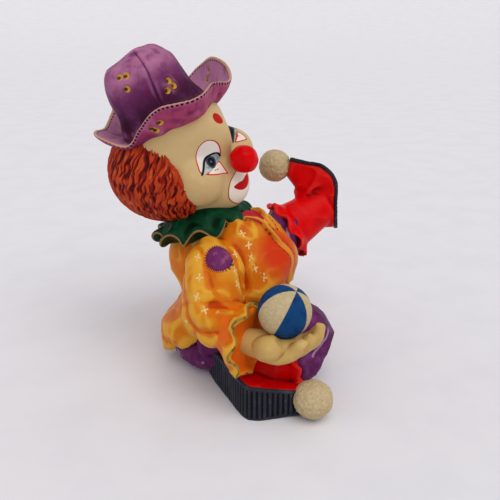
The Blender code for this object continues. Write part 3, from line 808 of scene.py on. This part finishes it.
def hair_paint():
    p = Paint("hair_paint", (206, 78, 30), rough=0.5, overall_tint=(0.82, 0.68, 0.7))
    p.layer((226, 118, 58), p.noise(4), 0.48, 0.72, 0.6)
    p.layer((176, 58, 26), p.noise(9, 2), 0.42, 0.7, 0.7)
    # The grooves between strokes darkened, partly their own dark red paint and partly painted shade.
    p.layer((146, 30, 12), "groove", 0.2, 0.55)
    p.layer((78, 8, 10), "groove", 0.55, 0.9)
    p.layer((196, 66, 24), "line", 1.4, 0.4, 0.8)
    return p.done()


# Hat


def crown_bump(level, angle):
    """Soft creases of the felt."""
    return 0.7 * np.sin(3 * angle + 0.6 + 2.2 * level) + 0.5 * np.sin(5 * angle - 1 - 3 * level)


def hat_crown():
    angle = circle(160)
    rings = []
    for share, (rise, back, radius) in zip(np.linspace(0, 1, 60), spline(CROWN_RINGS, 60)):
        r = radius + crown_bump(share, angle) * min(1, radius / 12)
        flat = np.stack([back + r * np.cos(angle), r * np.sin(angle), rise + 0 * r], -1)
        rings.append(HAT_AT + flat @ HAT)
    return skin(rings)


def hat_brim():
    s = np.linspace(0, 1, 17)
    thick = BRIM_THICK * (1 - 0.4 * s) + 3 * np.maximum(0, 1 - 2.5 * s)
    turn = circle(360)
    rings = []
    for a, far, high in zip(turn, *brim_at(turn)):
        out = np.array([math.cos(a), math.sin(a), 0])
        top = np.stack([BRIM_INSIDE + (far - BRIM_INSIDE) * s, brim_height(s, high)], -1)
        slope = unit(np.gradient(top, axis=0))
        under = top + np.stack([slope[:, 1], -slope[:, 0]], -1) * thick[:, None]
        edge = (top[-1:] + under[-1:]) / 2 + slope[-1:] * 0.5
        section = np.concatenate([top, edge, under[::-1]])
        rings.append(HAT_AT + (section[:, :1] * out + section[:, 1:] * (0, 0, 1)) @ HAT)
    return skin(rings, closed=True)


def hat():
    """The felt hat with four seams, wrinkles and pierced spots."""
    form = fused([hat_crown(), hat_brim()], 0.56, soften=2)
    local = (form.points - HAT_AT) @ HAT.T
    rise = local[:, 2]
    phi = np.arctan2(local[:, 1], local[:, 0])
    r = np.hypot(local[:, 0], local[:, 1])
    far, high = brim_at(phi)
    s = np.clip((r - BRIM_INSIDE) / (far - BRIM_INSIDE), 0, 1)
    turn = circle(360)
    reach, lift = brim_at(turn)
    rim = np.stack([reach * np.cos(turn), reach * np.sin(turn), lift - 0.2], -1)
    edge, along = near_line(local, rim, closed=True)
    on_brim = (r > BRIM_INSIDE + 0.5) & (rise < high + 3)
    below = rise - brim_height(s, high) + BRIM_THICK * 0.3

    seam_at = np.subtract(SEAM_AT, HAT_AT) @ HAT.T
    seam_angle = math.atan2(seam_at[1], seam_at[0])
    on_crown = np.clip((rise - 4) / 4, 0, 1) * (r < 22) * np.clip((r - 3) / 5, 0, 1)
    relief = np.zeros(len(r))
    crease = np.zeros(len(r))
    for quarter in range(4):
        turn_off = np.angle(np.exp(1j * (phi - seam_angle - quarter * math.pi / 2)))
        off = turn_off * r + 0.8 * np.sin(rise / 6 + quarter)
        groove = hump(off, 0.4)
        relief += on_crown * (0.12 * hump(np.abs(off) - 1.4, 0.9) - 0.3 * groove)
        crease = np.maximum(crease, on_crown * groove)
    wrinkle = grain(local * (1, 1, 0.45), 6.5, 4) + 0.5 * grain(local * (1, 1, 0.6), 3.1, 5) - 0.75
    relief += 1.1 * wrinkle * np.clip(edge / 4, 0, 1)
    pits = np.array([form.points[length(form.points - spot).argmin()] for spot in HAT_PITS])
    pit = nearest(form.points, pits)
    shadow = nearest(form.points, pits + PIT_SHADOW)
    form.push(relief - 0.9 * hump(pit, 1.3))
    form.paint.update(
        under=np.where(on_brim | (rise < 0), np.clip(-below, -3, 3), -3),
        edge=edge, along=along, pit=pit, pit_shadow=shadow, crease=crease, rise=rise, out=r,
        hollow=form.hollow(12),
    )
    return form


def hat_paint():
    p = Paint("hat_paint", (118, 52, 116), rough=0.5, overall_tint=(0.96, 0.9, 0.74))
    p.layer((142, 78, 142), p.noise(6, 4, 0.6), 0.44, 0.72, 0.8)
    p.layer((136, 34, 102), p.noise(10), 0.5, 0.72, 0.7)
    p.layer((84, 48, 112), p.noise(14), 0.5, 0.75, 0.7)
    # Painted highlight: the crown paler and pinker towards its top.
    p.layer((182, 116, 166), p.both(p.span("rise", 17, 28), p.span(p.noise(5), 0.25, 0.6)), strength=0.75)
    under = p.span("under", -0.25, 0.35)
    top = p.both(p.span("out", 20, 25), p.span("under", 0.3, -0.3))
    p.layer((206, 140, 196), p.both(top, p.span(p.noise(6), 0.1, 0.5)), strength=0.85)
    p.layer((176, 72, 124), under, strength=0.9)
    p.layer((112, 34, 92), p.both(under, p.span(p.noise(5, 4), 0.45, 0.7)), strength=0.7)
    # Painted shade under the brim, darker towards the head.
    p.layer((96, 30, 84), p.both(under, p.span("out", 31, 24)), strength=0.75)
    # The foot of the crown darkened where it meets the brim: partly its own plum paint and partly painted shade
    # in that corner.
    low = p.both(p.span("out", 23, 20), p.span("rise", 25, 7))
    p.layer((52, 8, 44), p.both(low, p.span(p.noise(10), 0.1, 0.55)), strength=0.95)
    # Painted shade in the hollows of the felt and painted highlight on its ridges.
    p.layer((66, 18, 60), "hollow", 0.06, 0.34, 0.8)
    p.layer((182, 122, 176), "hollow", -0.06, -0.3, 0.6)
    p.layer((58, 14, 50), "crease", 0.3, 0.9, 0.7)
    p.layer((206, 158, 52), "pit", 1.55, 1.3)
    p.layer((226, 190, 100), p.both(p.span("pit", 1.3, 1.0), p.span(p.noise(1.6, 2), 0.55, 0.7)))
    p.layer((52, 22, 12), "pit_shadow", 1.0, 0.8, 0.9)
    p.layer((200, 158, 124), "edge", 0.95, 0.7, 0.85)
    dash = p.span(p.maths("PINGPONG", "along", 1), 0.35, 0.5)
    p.layer((44, 14, 22), p.both(p.span(p.off("edge", 1.15), 0.36, 0.24), dash))
    p.bump(0.05, 0.7)
    p.bump(0.12, 2.4)
    return p.done()


# Clothes


def ruff():
    """The flounced collar: lobes that swing out and in, up and down, round a ring that tips up in front."""
    tip = math.radians(RUFF_TIP)
    ahead = np.array((0, -math.cos(tip), math.sin(tip)))
    up = np.array((0, math.sin(tip), math.cos(tip)))
    rings, edge = [], []
    for a in circle(560):
        out = math.cos(a) * ahead + math.sin(a) * np.array((1, 0, 0))
        phase = RUFF_LOBES * a + 0.7 * math.sin(2 * a)
        far = RUFF_REACH - RUFF_FRONT * max(0, math.cos(a)) ** 2 + 2.2 * math.sin(phase)
        low = -3 - 2.6 * math.cos(phase)
        section = spline((
            (12, 6), (16, 4.5), (20, 1.5 + 0.4 * low), (far, low + 0.8),
            (far + 0.5, low - 0.6), (far - 1.2, low - 1.2), (19, low * 0.5 - 3.6), (12, -8),
        ), 30, closed=True)
        rings.append([RUFF_AT + r * out + h * up for r, h in section])
        edge.append(RUFF_AT + (far + 0.3) * out + (low - 0.3) * up)
    form = Form(*skin(rings, closed=True))
    away, _ = near_line(form.points, edge[::4], closed=True)
    form.push(0.9 * (grain(form.points, 4, 7) - 0.5) * np.clip(away / 3, 0, 1))
    form.paint.update(edge=away, hollow=form.hollow(10))
    return form


def ruff_paint():
    # The darkening tint in the next line is painted shade laid over the whole collar.
    p = Paint("ruff_paint", (6, 84, 52), rough=0.38, overall_tint=(0.62, 0.48, 0.44))
    p.layer((24, 122, 82), p.noise(5), 0.5, 0.75, 0.7)
    p.layer((2, 48, 32), p.noise(6, 2), 0.5, 0.75, 0.7)
    # Painted shade: the collar's hollows darkened.
    p.layer((0, 30, 20), "hollow", 0.05, 0.35, 0.8)
    p.layer((176, 148, 100), "edge", 0.62, 0.42)
    p.bump(0.1, 1.5)
    return p.done()


def jacket_body():
    """The body of the jacket, with drapery folds that run down from the shoulders and across the waist."""
    angle = circle(220)
    c, s = np.cos(angle), np.sin(angle)
    power = JACKET_POWER - FAR_ROUNDING * np.where(s > 0, np.clip(np.sin(2 * angle), 0, 1), 0)
    square = (np.abs(c) ** power + np.abs(s) ** power) ** (-1 / power)
    rings = []
    for t, (yb, zb, yf, zf, wide) in zip(np.linspace(0, 1, 110), spline(JACKET_RINGS, 110)):
        middle = np.array((0, (yb + yf) / 2, (zb + zf) / 2))
        ahead = np.array((0, (yf - yb) / 2, (zf - zb) / 2))
        folds = 0.07 * pleats(4 * angle + 4 * t) * (1 - t) + 0.02 * np.sin(4 * angle - 9 * t + 1)
        hem = 0.04 * np.sin(9 * angle + 1) * max(0, 1 - 6 * t)
        grown = (1 + folds + hem) * square
        rings.append(middle + np.outer(c * grown, ahead) + np.outer(s * grown, (wide, 0, 0)))
    return skin(rings)


def sleeve_folds(t, angle):
    cross_folds = hump(t - 0.6, 0.2) * pleats(15 * t) * (0.5 + 0.5 * np.cos(angle - 0.6))
    return 2.2 * pleats(2.5 * angle + 5 * t) + 2.6 * cross_folds


def cuff(at, ahead, radius, depth, lobes, hint=(1, 0, 0)):
    """The flared, ruffled end of a sleeve or shaft: the skin of an open bell, and the line of its wavy rim."""
    ahead = unit(ahead)
    side = unit(np.cross(hint, ahead))
    over = np.cross(ahead, side)
    rings, rim = [], []
    for a in circle(40 * lobes):
        out = math.cos(a) * side + math.sin(a) * over
        far = radius + 1.3 * math.sin(lobes * a)
        reach = 1.4 * math.cos(lobes * a + 0.8)
        section = (
            (radius * 0.25, -depth), (radius * 0.52, -depth), (radius * 0.86, -depth * 0.4),
            (far + 0.3, reach), (far - 1.2, reach + 0.5), (radius * 0.74, -depth * 0.24),
            (radius * 0.25, -depth * 0.14),
        )
        rings.append([at + r * out + h * ahead for r, h in section])
        rim.append(at + (far - 0.4) * out + (reach + 0.4) * ahead)
    return skin(rings, closed=True), np.array(rim[::5])


def cloth_folds(points, size, seed):
    """Creased cloth: soft ridges that wander and fork."""
    warp = np.stack([grain(points, size * 2, seed + k) for k in range(3)], -1) * size * 1.4
    ridged = 1 - np.abs(2 * grain(points + warp, size, seed + 5) - 1)
    return ridged**2 - 0.35


def marks_on(form, marks):
    """Each point's distance to the nearest mark, and how far it lies along that mark's two strokes."""
    away = length(form.points[:, None, :] - np.array(marks, float)[None])
    which = away.argmin(axis=1)
    closest = away.argmin(axis=0)
    normals = form.normals()
    places = np.zeros((2, len(form.points)))
    for k, centre in enumerate(closest):
        n = normals[centre]
        level = unit(np.cross(n, (0, 0, 1)))
        first = unit(level + 0.35 * math.sin(2.1 * k + 1) * np.cross(n, level))
        second = unit(np.cross(n, first) + 0.25 * math.cos(3.3 * k) * first)
        mine = which == k
        off = form.points[mine] - form.points[centre]
        places[:, mine] = off @ first, off @ second
    return away.min(axis=1), *places


def jacket():
    right_bell, right_rim = cuff(*RIGHT_CUFF, CUFF_LOBES)
    left_bell, left_rim = cuff(*LEFT_CUFF, CUFF_LOBES)
    form = fused([
        jacket_body(),
        sweep(LAPEL, (0.7, 0.8, 0.9, 0.9, 0.9, 0.9, 0.7), 80, 20),
        sweep(FAR_LAPEL, (0.8, 1, 0.8), 40, 20),
        sweep(ARM_PATH, ARM_RADII, 90, 110, bump=sleeve_folds),
        sweep(PROP_PATH, PROP_RADII, 80, 100, hint=(0, 1, 0), bump=sleeve_folds),
        right_bell,
        left_bell,
    ], 0.62)
    p = form.points
    rims = np.minimum(near_line(p, right_rim, closed=True)[0], near_line(p, left_rim, closed=True)[0])
    near_edge, near_along = near_line(p, spline(LAPEL, 60))
    far_edge, far_along = near_line(p, spline(FAR_LAPEL, 40))
    lapel = np.minimum(near_edge, far_edge)
    free = np.clip(np.minimum(rims, lapel) / 3, 0, 1)
    form.push(free * (1.2 * cloth_folds(p, 16, 11) + 0.5 * cloth_folds(p, 7, 21)))

    p = form.points
    from_patch = p - PATCH_AT
    deep = from_patch @ unit(PATCH_FACES)
    flat = from_patch - deep[:, None] * unit(PATCH_FACES)
    from_cuff = p - RIGHT_CUFF[0]
    ahead = unit(RIGHT_CUFF[1])
    mark, mark_u, mark_v = marks_on(form, CROSSES)
    form.paint.update(
        rim=rims,
        lapel=lapel,
        lapel_along=np.where(near_edge < far_edge, near_along, far_along),
        shirt=np.where(p[:, 2] > 66, outline_distance(p[:, 0], p[:, 1], SHIRT, smooth=0), 9),
        chest=length((p - CHEST_AT) / CHEST_RADII),
        patch=length(flat) + 3 * np.maximum(np.abs(deep) - 4, 0),
        patch_turn=np.arctan2(from_patch[:, 2], from_patch[:, 1]),
        small_patch=length(p - SMALL_PATCH_AT),
        mark=mark, mark_u=mark_u, mark_v=mark_v,
        inside=(from_cuff @ ahead > -9) & (length(np.cross(from_cuff, ahead)) < RIGHT_CUFF[2] - 1.6),
        hollow=form.hollow(14),
        wide_hollow=form.hollow(60),
    )
    return form


def jacket_paint():
    p = Paint("jacket_paint", (226, 130, 18), rough=0.42, overall_tint=(0.84, 0.74, 0.5))
    p.layer((234, 160, 40), p.noise(9, 4, 0.6), 0.48, 0.7, 0.5)
    p.layer((214, 98, 8), p.noise(12), 0.48, 0.7, 0.75)
    # Painted shade: broad and narrow hollows of the cloth darkened to red-orange.
    p.layer((206, 74, 2), "wide_hollow", 0.1, 0.9, 0.7)
    p.layer((196, 62, 0), "hollow", 0.05, 0.3, 0.75)
    # Painted highlight: the ridges of the folds lightened to yellow.
    p.layer((242, 196, 78), "hollow", -0.05, -0.26, 0.75)
    # The chest deep red-orange: partly its own darker wash and partly painted shade.
    p.layer((216, 46, 0), "chest", 1.25, 0.5, 0.92)
    # Painted light inside the right cuff, lifting it out of its shadow.
    p.layer((244, 116, 20), "inside", strength=0.85)
    p.layer((196, 22, 60), "shirt", 0.2, -0.2)
    fray = p.maths("ADD", "patch", p.both(p.noise(1.2, 2), 0.9))
    p.layer((116, 44, 124), fray, PATCH_RADIUS + 0.6, PATCH_RADIUS + 0.3)
    p.layer((150, 84, 156), p.both(p.span(fray, 5.6, 5.2), p.span(p.noise(3), 0.5, 0.7)))
    rays = p.span(p.maths("PINGPONG", p.both("patch_turn", 6.0), 0.5), 0.2, 0.35)
    ring = p.span(p.off("patch", PATCH_RADIUS), 0.8, 0.6)
    p.layer((62, 14, 66), p.both(rays, ring), strength=0.8)
    p.layer((222, 196, 140), p.maths("ADD", "small_patch", p.noise(1.5, 2)), 3.4, 3.0, 0.8)
    u, v = p.off("mark_u"), p.off("mark_v")
    one = p.both(p.span(u, 0.42, 0.24), p.span(v, 2.1, 1.7))
    two = p.both(p.span(v, 0.42, 0.24), p.span(u, 1.7, 1.3))
    cross = p.both(p.maths("MAXIMUM", one, two), p.span(p.noise(1.0, 2), 0.3, 0.5))
    p.layer((246, 224, 190), p.both(cross, p.span("mark", 2.6, 2.4)))
    p.layer((170, 142, 78), "rim", 0.95, 0.65)
    p.layer((96, 88, 46), p.both(p.span("rim", 0.9, 0.6), p.span(p.noise(2.5, 2), 0.5, 0.65)))
    # Painted highlight: a light line along the ridge of each lapel edge.
    p.layer((232, 172, 70), "lapel", 1.7, 1.3, 0.75)
    dash = p.span(p.maths("PINGPONG", "lapel_along", 1.2), 0.6, 0.75)
    stitch = p.span(p.off("lapel", 2.2), 0.36, 0.2)
    p.layer((112, 60, 22), p.both(dash, stitch))
    p.bump(0.1, 1.6)
    p.bump(0.03, 0.6, 2)
    return p.done()


def trousers():
    def knee_folds(t, angle):
        return 1.8 * pleats(2.5 * angle + 4 * t)

    form = fused([
        egg(SEAT_AT, SEAT_RADII, 60, 120),
        sweep(NEAR_LEG, NEAR_LEG_RADII, 70, 110, bump=knee_folds),
        egg(KNEE_AT, KNEE_RADII, 50, 90),
        sweep(NEAR_SHIN, NEAR_SHIN_RADII, 30, 60, hint=(0, 0, 1), bump=knee_folds),
        sweep(FAR_LEG, FAR_LEG_RADII, 70, 110, bump=knee_folds),
    ], 0.72)
    form.push(1.3 * cloth_folds(form.points, 11, 31) + 0.5 * cloth_folds(form.points, 5, 41))
    form.settle()
    strokes = [near_line(form.points, spline(line, 16))[0] for line in LILAC_STROKES]
    form.paint.update(stroke=np.minimum.reduce(strokes), hollow=form.hollow(12))
    return form


def trousers_paint():
    p = Paint("trousers_paint", (98, 34, 96), rough=0.4, overall_tint=(0.9, 0.8, 0.75))
    p.layer((132, 66, 134), p.noise(8), 0.48, 0.75, 0.7)
    p.layer((58, 12, 56), p.noise(10), 0.5, 0.75, 0.8)
    # Painted shade: the hollows of the cloth darkened.
    p.layer((40, 6, 42), "hollow", 0.05, 0.35, 0.8)
    stroke = p.maths("ADD", "stroke", p.both(p.noise(2, 2), 1.2))
    p.layer((182, 142, 190), stroke, 1.5, 1.1, 0.85)
    p.bump(0.1, 1.6)
    return p.done()


# Hands


def right_hand():
    """The open palm: a cup of four fingers that curl up in front and a broad thumb on the near side."""
    skins = [
        sweep(RIGHT_WRIST, RIGHT_WRIST_RADII, 30, 50),
        egg(RIGHT_PALM_AT, RIGHT_PALM_RADII, 40, 70),
        sweep(RIGHT_THUMB, RIGHT_THUMB_RADII, 36, 40),
    ]
    for x, far, tip in FINGERS:
        path = ((x, -27, 31), (x, far + 9, 30.6), (x, far + 3.4, 33), (x, far, 37), (x + 0.4, far - 1, tip))
        skins.append(sweep(path, FINGER_RADII, 50, 32))
    form = fused(skins, 0.4)
    ball_at, ball_radius = ball_place()
    away = form.points - ball_at
    reach = length(away)
    form.points = ball_at + away * (np.maximum(reach, ball_radius + BALL_GAP) / reach)[:, None]
    form.paint["hollow"] = form.hollow(10)
    return form


def left_hand():
    """The hidden hand, flat on the ground behind the clown."""
    skins = [
        egg(LEFT_AT, LEFT_RADII, 40, 60),
        sweep(LEFT_WRIST, (5.5, 6.5), 20, 40),
        sweep(LEFT_THUMB, LEFT_FINGER_RADII, 30, 30),
    ]
    for x in LEFT_FINGERS:
        path = ((34 + x * 0.8, 9, 6), (34 + x, 2, 4.5), (34 + x * 1.1, -3, 2.6))
        skins.append(sweep(path, LEFT_FINGER_RADII, 30, 30))
    form = fused(skins, 0.45)
    form.settle()
    form.paint["hollow"] = form.hollow(10)
    return form


def hand_paint():
    p = Paint("hand_paint", (218, 192, 132), rough=0.4, overall_tint=(0.8, 0.68, 0.5))
    p.layer((236, 216, 164), p.noise(6), 0.48, 0.75, 0.6)
    # Painted shade: the hollows between fingers and palm darkened.
    p.layer((182, 140, 80), "hollow", 0.03, 0.2, 0.85)
    p.bump(0.06, 1.6)
    return p.done()


# Shoes


def shoe_line(shoe, count):
    """The sole's middle line from heel to toe, with the way across it and the ways to the foot."""
    heel, ball, toe = np.array(shoe.sole, float)
    early, late, later = shoe.bend
    path = [heel, heel + (ball - heel) * early / 2, heel + (ball - heel) * early]
    path += [ball + (toe - ball) * late, ball + (toe - ball) * later, toe]
    line = spline(path, count)
    across = unit(shoe.across)
    inward = unit(np.cross(unit(np.gradient(line, axis=0)), across))
    if (shoe.collar - heel) @ inward[0] < 0:
        inward = -inward
    return line, across, inward


def half_widths(count, taper):
    s = np.linspace(0, 1, count)
    round_heel = np.sqrt(np.clip(1 - (1 - np.minimum(s / 0.16, 1)) ** 2, 0.08, 1))
    round_toe = np.sqrt(np.clip(1 - (1 - np.minimum((1 - s) / 0.06, 1)) ** 2, 0.25, 1))
    return SHOE_WIDTH / 2 * (1 - (1 - taper) * np.clip((s - 0.62) / 0.38, 0, 1)) * round_heel * round_toe


def sole(shoe):
    """A flat sole with a rim and raised bars across its tread."""
    count, sides = 250, 64
    line, across, inward = shoe_line(shoe, count)
    run = np.concatenate([[0], np.cumsum(length(np.diff(line, axis=0)))])
    c, d = np.cos(circle(sides)), np.sin(circle(sides))
    rings, groove = [], []
    for i, half in enumerate(half_widths(count, shoe.taper)):
        wide = boxed(c, 0.4) * half
        deep = SOLE_THICK / 2 + boxed(d, 0.4) * SOLE_THICK / 2
        from_rim = half - np.abs(wide)
        from_ends = min(run[i], run[-1] - run[i])
        inside = np.clip((from_rim - 1.1) / 0.4, 0, 1) * np.clip((from_ends - 1.4) / 0.5, 0, 1) * (d < -0.2)
        bar = np.clip(3.2 * (abs((run[i] / TREAD_PITCH) % 1 - 0.5) * 2 - 0.3), 0, 1)
        cut = inside * (1 - bar)
        rings.append(line[i] + np.outer(wide, across) + np.outer(deep + 0.6 * cut, inward[i]))
        groove.append(cut)
    form = Form(*skin(rings))
    form.push(0.25 * (grain(form.points, 2.5, 51) - 0.5))
    form.settle()
    form.paint["groove"] = np.append(np.ravel(groove), (0, 0))
    return form


def sole_paint():
    p = Paint("sole_paint", (44, 46, 56), rough=0.42)
    p.layer((84, 84, 98), p.noise(4, 4, 0.65), 0.5, 0.75, 0.6)
    p.layer((22, 18, 26), p.noise(8, 2), 0.5, 0.75, 0.7)
    # Painted shade: the grooves between the tread bars darkened.
    p.layer((10, 8, 14), "groove", 0.3, 0.9, 0.9)
    p.bump(0.12, 1.0)
    return p.done()


def boot(shoe, seed):
    """The upper over the sole, the shaft and its ruffled collar."""
    count = 120
    line, across, inward = shoe_line(shoe, count)
    half = half_widths(count, shoe.taper)
    height = spline(shoe.heights, count)
    c, d = np.cos(circle(72)), np.sin(circle(72))
    upper = []
    for i in range(2, count):
        wide = boxed(c, 0.8) * (half[i] - 0.9)
        deep = SOLE_THICK * 0.8 + np.maximum(d, 0) * height[i]
        upper.append(line[i] + np.outer(wide, across) + np.outer(deep, inward[i]))
    heel, ball, _ = np.array(shoe.sole, float)
    low = heel + (ball - heel) * 0.3 + inward[int(count * 0.1)] * 6
    high = heel + (ball - heel) * 0.55 + inward[int(count * 0.2)] * 7
    middle = (low + high) / 2
    collar = np.array(shoe.collar, float)
    radii = (9, 11, shoe.collar_radius * 0.8)
    shaft = sweep((middle, (middle + collar) / 2, collar), radii, 40, 80, hint=across)
    bell, _ = cuff(collar, collar - middle, shoe.collar_radius, 9, 8, hint=across)
    form = fused([skin(upper), shaft, bell], 0.58)
    form.push(0.45 * cloth_folds(form.points, 12, seed))
    form.settle()
    form.paint["hollow"] = form.hollow(12)
    return form


def boot_paint():
    p = red_paint("boot_paint", deep=(160, 0, 4))
    # Painted shade in the leather's hollows and painted highlight on its ridges.
    p.layer((120, 0, 8), "hollow", 0.05, 0.35, 0.8)
    p.layer((236, 70, 60), "hollow", -0.05, -0.3, 0.5)
    return p.done()


def pompom(at, seed):
    def sandy(d, r):
        points = d * POMPOM_RADIUS
        rough = 0.55 * (grain(points, 1.3, seed) - 0.5) + 0.3 * (grain(points, 0.7, seed + 1) - 0.5)
        return r + rough + 0.35 * (grain(points, 4, seed + 2) - 0.5)

    form = Form(*egg(at, (POMPOM_RADIUS,) * 3, 110, 170, shape=sandy))
    form.settle()
    form.paint["hollow"] = form.hollow(5)
    return form


def sandy_paint(name):
    p = Paint(name, (222, 204, 160), rough=0.62, overall_tint=(0.68, 0.63, 0.57))
    p.layer((240, 228, 196), p.noise(1.0, 3, 0.7), 0.45, 0.62, 0.7)
    # Painted shade: the pits of the sandy coat darkened.
    p.layer((176, 148, 96), "hollow", 0.02, 0.16, 0.75)
    p.layer((160, 128, 76), p.noise(0.8, 3, 0.7), 0.6, 0.74, 0.6)
    p.bump(0.12, 0.7)
    return p


# Ball


def ball_place():
    low, high = (np.array(corner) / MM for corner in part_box("ball"))
    return (low + high) / 2, (high - low).min() / 2


def ball():
    """The ball and the wave that its panels follow round the pole."""
    at, radius = ball_place()
    pole = unit(BALL_POLE)
    first = unit(np.cross(pole, (0, 0, 1)))
    second = np.cross(pole, first)

    def sandy(d, r):
        return r - 0.18 * grain(d * radius, 0.9, 61)

    form = Form(*egg(at, (radius,) * 3, 100, 160, shape=sandy))
    out = form.points - at
    turn = np.arctan2(out @ second, out @ first)
    form.paint["panel"] = np.cos(BALL_PANELS * (turn - math.radians(BALL_TURN)))
    return form


def ball_paint():
    p = sandy_paint("ball_paint_look")
    limit = math.cos(math.pi * BALL_BLUE_SHARE)
    blue = p.span("panel", limit - 0.06, limit + 0.06)
    p.layer((18, 78, 142), blue)
    p.layer((8, 44, 104), p.both(blue, p.span(p.noise(4), 0.48, 0.7)), strength=0.8)
    return p.done()


# Staging


def aimed(name, data, back, at):
    """An object, upright and at a place in metres, that looks against back; with the way to its right."""
    right = unit(np.cross((0, 0, 1), back))
    up = np.cross(back, right)
    made = placed(name, data)
    rows = zip(np.stack([right, up, back], -1), at)
    made.matrix_world = Matrix([*([*row, place] for row, place in rows), [0, 0, 0, 1]])
    return made, right


def camera():
    turn, height = math.radians(CAMERA_TURN), math.radians(CAMERA_HEIGHT)
    back = np.array([math.sin(turn) * math.cos(height), -math.cos(turn) * math.cos(height), math.sin(height)])
    data = bpy.data.cameras.new("camera")
    data.sensor_width = 36
    data.lens = LENS
    data.clip_start = 0.01
    made, right = aimed("camera", data, back, (LOOKS_AT + CAMERA_AWAY * back) * MM)
    bpy.context.scene.camera = made
    return right, back


def sun(name, toward, strength, spread):
    data = bpy.data.lights.new(name, "SUN")
    data.energy = strength
    data.angle = math.radians(spread)
    aimed(name, data, unit(toward), unit(toward))


def studio(right, back):
    """A pale sweep of floor that rises far behind, a soft key from the upper right and an even fill."""
    out = np.concatenate([np.linspace(0.02, 2, 20), np.linspace(2.2, 9, 40)])
    height = 0.1 * np.maximum(out - 2, 0) ** 2
    angle = circle(FLOOR_SIDES)
    rings = [np.stack([r * np.cos(angle), r * np.sin(angle), h + 0 * angle], -1) for r, h in zip(out, height)]
    points, faces = skin(rings[::-1])
    mesh = bpy.data.meshes.new("floor")
    mesh.from_pydata(points, [], [f for f in faces if not (len(f) == 3 and min(f) < FLOOR_SIDES)])
    mesh.shade_smooth()
    p = Paint("floor_paint", (230, 228, 232), rough=0.9, specular=0.1)
    p.layer((222, 220, 226), p.noise(30), 0.4, 0.7, 0.4)
    mesh.materials.append(p.done())
    placed("floor", mesh)
    world = bpy.data.worlds.new("world")
    world.use_nodes = True
    sky = world.node_tree.nodes["Background"].inputs
    sky["Color"].default_value = (1, 1, 1, 1)
    sky["Strength"].default_value = SKY_STRENGTH
    bpy.context.scene.world = world
    sun("key", 0.55 * back + 0.35 * right + (0, 0, 0.8), 1.24, 50)
    sun("fill", 0.8 * back - 0.6 * right + (0, 0, 0.2), 0.36, 90)
    bpy.context.scene.view_settings.view_transform = "Standard"


def main():
    studio(*camera())
    piece("head", face(), face_paint())
    piece("nose", nose(), red_paint("nose_paint", rough=0.25).done())
    piece("hair", hair(), hair_paint())
    piece("hat", hat(), hat_paint())
    piece("ruff", ruff(), ruff_paint())
    piece("jacket", jacket(), jacket_paint())
    piece("trousers", trousers(), trousers_paint())
    skin_paint = hand_paint()
    piece("right_hand", right_hand(), skin_paint)
    piece("left_hand", left_hand(), skin_paint)
    leather = boot_paint()
    piece("right_boot", boot(NEAR_SHOE, 71), leather)
    piece("left_boot", boot(FAR_SHOE, 81), leather)
    rubber = sole_paint()
    piece("right_sole", sole(NEAR_SHOE), rubber)
    piece("left_sole", sole(FAR_SHOE), rubber)
    fluff = sandy_paint("pompom_paint").done()
    piece("right_pompom", pompom(NEAR_POMPOM_AT, 91), fluff)
    piece("left_pompom", pompom(FAR_POMPOM_AT, 95), fluff)
    piece("painted_ball", ball(), ball_paint(), node="ball")


main()
